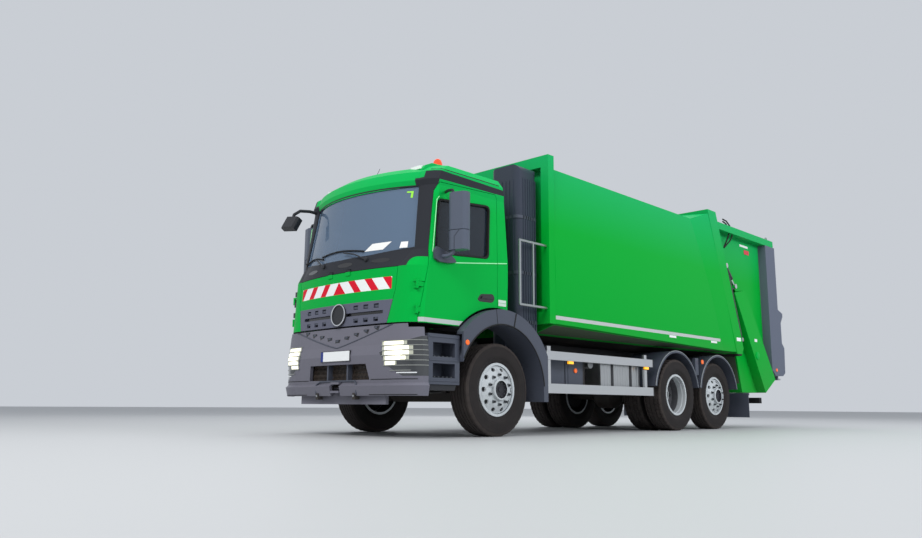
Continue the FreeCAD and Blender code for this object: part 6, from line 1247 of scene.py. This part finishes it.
def tower_parts():
    """Ribs and bands on the intake tower, rings round the exhaust stack."""
    shape = Shape()
    x0, x1, s0, s1 = 0.64, 1.09, 1.89, 2.285
    proud = 0.006
    for station in spread(s0 + 0.1, s0 + 0.325, 6):
        shape.block(at(x1 - 0.002, station, 1.1), at(x1 + proud, station + 0.02, 3.15), "tower")
    for x in spread(x0 + 0.11, x0 + 0.35, 5):
        shape.block(at(x, s0 - proud, 1.9), at(x + 0.03, s0 + 0.002, 3.12), "tower")
    left, right, front, back = x0 - proud, x1 + proud, s0 - proud, s1 + proud
    corners = [(left, front), (right, front), (right, back), (left, back)]
    for z in (1.35, 1.95, 2.65):
        rows = [[at(*p, z + dz) for p in rounded_path(corners, 0.09, 6)] for dz in (-0.02, 0.02)]
        shape.strip(looped(rows), "fender")
    for z in spread(1.3, 3.085, 22):
        ring = [at(-0.595 + 0.088 * math.cos(a), 2.157 + 0.088 * math.sin(a), z) for a in angles(24)]
        shape.tube(ring, 0.006, "steel", 6, closed=True)
    shape.build("tower_ribs", "vehicle", "plastic_grey")


def tailgate_parts():
    """Lamps, hoses, patches and handles of the tailgate."""
    skin = surface_of("tailgate_shell", "rear_columns", "slide_guides")
    shape = Shape()
    handle = ((9.375, 1.58), (9.43, 1.62), (9.43, 1.84), (9.375, 1.88))
    chevron = ((1.12, 0), (1.24, 0.08), (1.24, 0.16), (1.12, 0.08))
    for _, sign in SIDES:
        for station in (7.78, 8.19, 8.56):
            patch(shape, skin, sign, (station, 1.505), 0.05, (1.48, 1.53), 0.003, "white")
        for z in (1.2, 1.34):
            shape.lens(at(sign * 1.18, 9.335, z), REARWARD, 0.05, 0.046, 0.012, 0.016, "red_lens", 28)
        shape.lens(at(sign * 1.18, 9.3345, 1.07), REARWARD, 0.045, 0.04, 0.012, 0.016, "orange", 28)
        shape.lens(at(sign * 1.2555, 9.05, 1.02), (sign, 0, 0), 0.03, 0.027, 0.012, 0.014, "orange", 20)
        shape.flank(sign, (1.12, 1.24), (9.279, 9.285), (2.45, 3.25), "red")
        for z in spread(2.5, 3.1, 4):
            outline = [(sign * x, z + up) for x, up in chevron]
            shape.prism(outline, "y", (9.2852 - HALF_LENGTH, 9.2862 - HALF_LENGTH), "white")
        # The handles wear the glowing lens material, so they carry a painted glow though they are no lamps
        shape.tube(placed(sign * 1.18, handle), 0.014, "orange", 10)
    shape.build("tailgate_lamps", "tailgate", "lamp")
    pipes = Shape()
    hoses = (((7.27, 3.54), (7.4, 3.53), (7.52, 3.47), (7.6, 3.38), (7.6, 3.29),
              (7.5, 3.19), (7.36, 3.1), (7.27, 3.04)),
             ((7.27, 3.5), (7.38, 3.48), (7.47, 3.41), (7.49, 3.33), (7.42, 3.22),
              (7.33, 3.12), (7.27, 3.05)))
    for _, sign in SIDES:
        for hose in hoses:
            pipes.tube(placed(sign * 1.206, hose), 0.0125, "rubber", 10)
        eye = [round_about(at(sign * 1.18, 9.1, 3.47), 0.035, angle) for angle in angles(24)]
        pipes.tube(eye, 0.01, "zinc", 8, closed=True)
    pipes.build("tailgate_hoses", "tailgate", "plastic_dark")
    ribs = Shape()
    labels = ((8.26, 3.22, 0.17, 0.02, 0.004, "white"), (7.19, 3.44, 0.05, 0.035, 0.004, "white"),
              (8.36, 3.12, 0.1, 0.04, 0.006, "red"))
    cap = [(0, 0), (0, 0.07), (0.01, 0.07), (0.014, 0.06), (0.014, 0)]
    for _, sign in SIDES:
        for station, z, half, rise, deep, material in labels:
            patch(ribs, skin, sign, (station, z), half, (z - rise, z + rise), deep, material)
        ribs.turned(cap, at(sign * 1.27, 8.222, 1.24), (sign, 0, 0), "green", 36)
    ribs.build("tailgate_ribs", "tailgate", "body_green", bevel=0.004)


def cylinder_parts():
    """Glands and sleeves on the lift and packer cylinders."""
    radius = 0.034
    gland = [(-0.05, 0.021), (-0.05, radius + 0.004), (-0.004, radius + 0.004),
             (0.003, radius - 0.004), (0.003, 0.021)]
    collar = [(0.05, radius), (0.05, radius + 0.003), (0.09, radius + 0.003), (0.09, radius)]
    for name, body, layer, foot, head, length in (
            ("lift", "lift_barrels", 1.228, (7.672, 1.49), (7.229, 2.72), 1.13),
            ("packer", "packer_barrels", 1.15, (7.15, 2.96), (7.705, 2.423), 0.61)):
        shape = Shape()
        narrow, wide = (0.034, 0.034), (0.036, 0.046)
        low, high = 0.05, length - 0.03
        sleeve = ((low, *narrow), (low, *wide), (high, *wide), (high, *narrow))
        for _, sign in SIDES:
            start, end = at(sign * layer, *foot), at(sign * layer, *head)
            run = (end - start).normalized()
            shape.turned(gland, start + run * length, run, "black", 28)
            shape.turned(collar, start, run, "black", 28)
            rise = run.cross(Vector((1, 0, 0)))
            rows = []
            for along, across, up in sleeve:
                middle = start + run * along
                rows.append([middle + Vector((across * math.cos(a), 0, 0)) + rise * up * math.sin(a)
                             for a in spread(0, 2 * math.pi, 33)])
            shape.strip(rows, "cylinder")
        shape.build(f"{name}_glands", body, "cylinder_paint")


# Stage, light and camera

def stage():
    bpy.ops.mesh.primitive_plane_add(size=160, location=(0, 0, 0))
    floor = bpy.context.object
    floor.name = "studio_floor"
    floor.data.materials.append(Paint("floor", (0.42, 0.43, 0.44), 0.55).material)
    world = bpy.data.worlds.new("studio")
    bpy.context.scene.world = world
    world.use_nodes = True
    sky = world.node_tree.nodes["Background"]
    sky.inputs["Color"].default_value = (0.78, 0.82, 0.88, 1)
    sky.inputs["Strength"].default_value = 0.75


def area_light(name, place, target, size, power, color):
    """A soft lamp that glossy surfaces don't mirror."""
    data = bpy.data.lights.new(name, "AREA")
    data.shape = "RECTANGLE"
    data.size, data.size_y = size
    data.energy = power
    data.color = color
    lamp = bpy.data.objects.new(name, data)
    lamp.location = place
    lamp.rotation_euler = (Vector(target) - Vector(place)).to_track_quat("-Z", "Y").to_euler()
    lamp.visible_glossy = False
    bpy.context.scene.collection.objects.link(lamp)


# The camera's place, its angles in degrees and its lens
CAMERA_PLACE = (7.11, -10.18, 0.34)
CAMERA_ANGLES = (99.87, -0.37, 43.78)
CAMERA_LENS = 30.73
LIGHTS = (
    ("key", (4, -14, 11), (0, -1, 1.5), (9, 5), 1500, (1.0, 0.98, 0.95)),
    ("side", (15, 2, 8), (0, 1, 1.5), (12, 5), 1500, (0.95, 0.98, 1.0)),
    ("top", (-2, 0, 15), (0, 0, 2), (12, 9), 1100, (1, 1, 1)),
    ("back", (-10, 10, 7), (0, 3, 2), (8, 4), 500, (1, 1, 1)),
)


def camera():
    data = bpy.data.cameras.new("camera")
    data.lens = CAMERA_LENS
    data.sensor_width = 36
    data.clip_end = 300
    item = bpy.data.objects.new("camera", data)
    item.location = CAMERA_PLACE
    item.rotation_euler = [math.radians(angle) for angle in CAMERA_ANGLES]
    bpy.context.scene.collection.objects.link(item)
    bpy.context.scene.camera = item


for make in (wheels, grille_parts, bumper_parts, headlamp_parts, wipers, roof_fittings, door_parts,
             cab_lines, interior, fender_parts, tank_parts, guard_parts, mudguard_parts, body_parts,
             tower_parts, tailgate_parts, cylinder_parts, stage):
    make()
for light in LIGHTS:
    area_light(*light)
camera()
bpy.context.scene.view_settings.view_transform = "Standard"
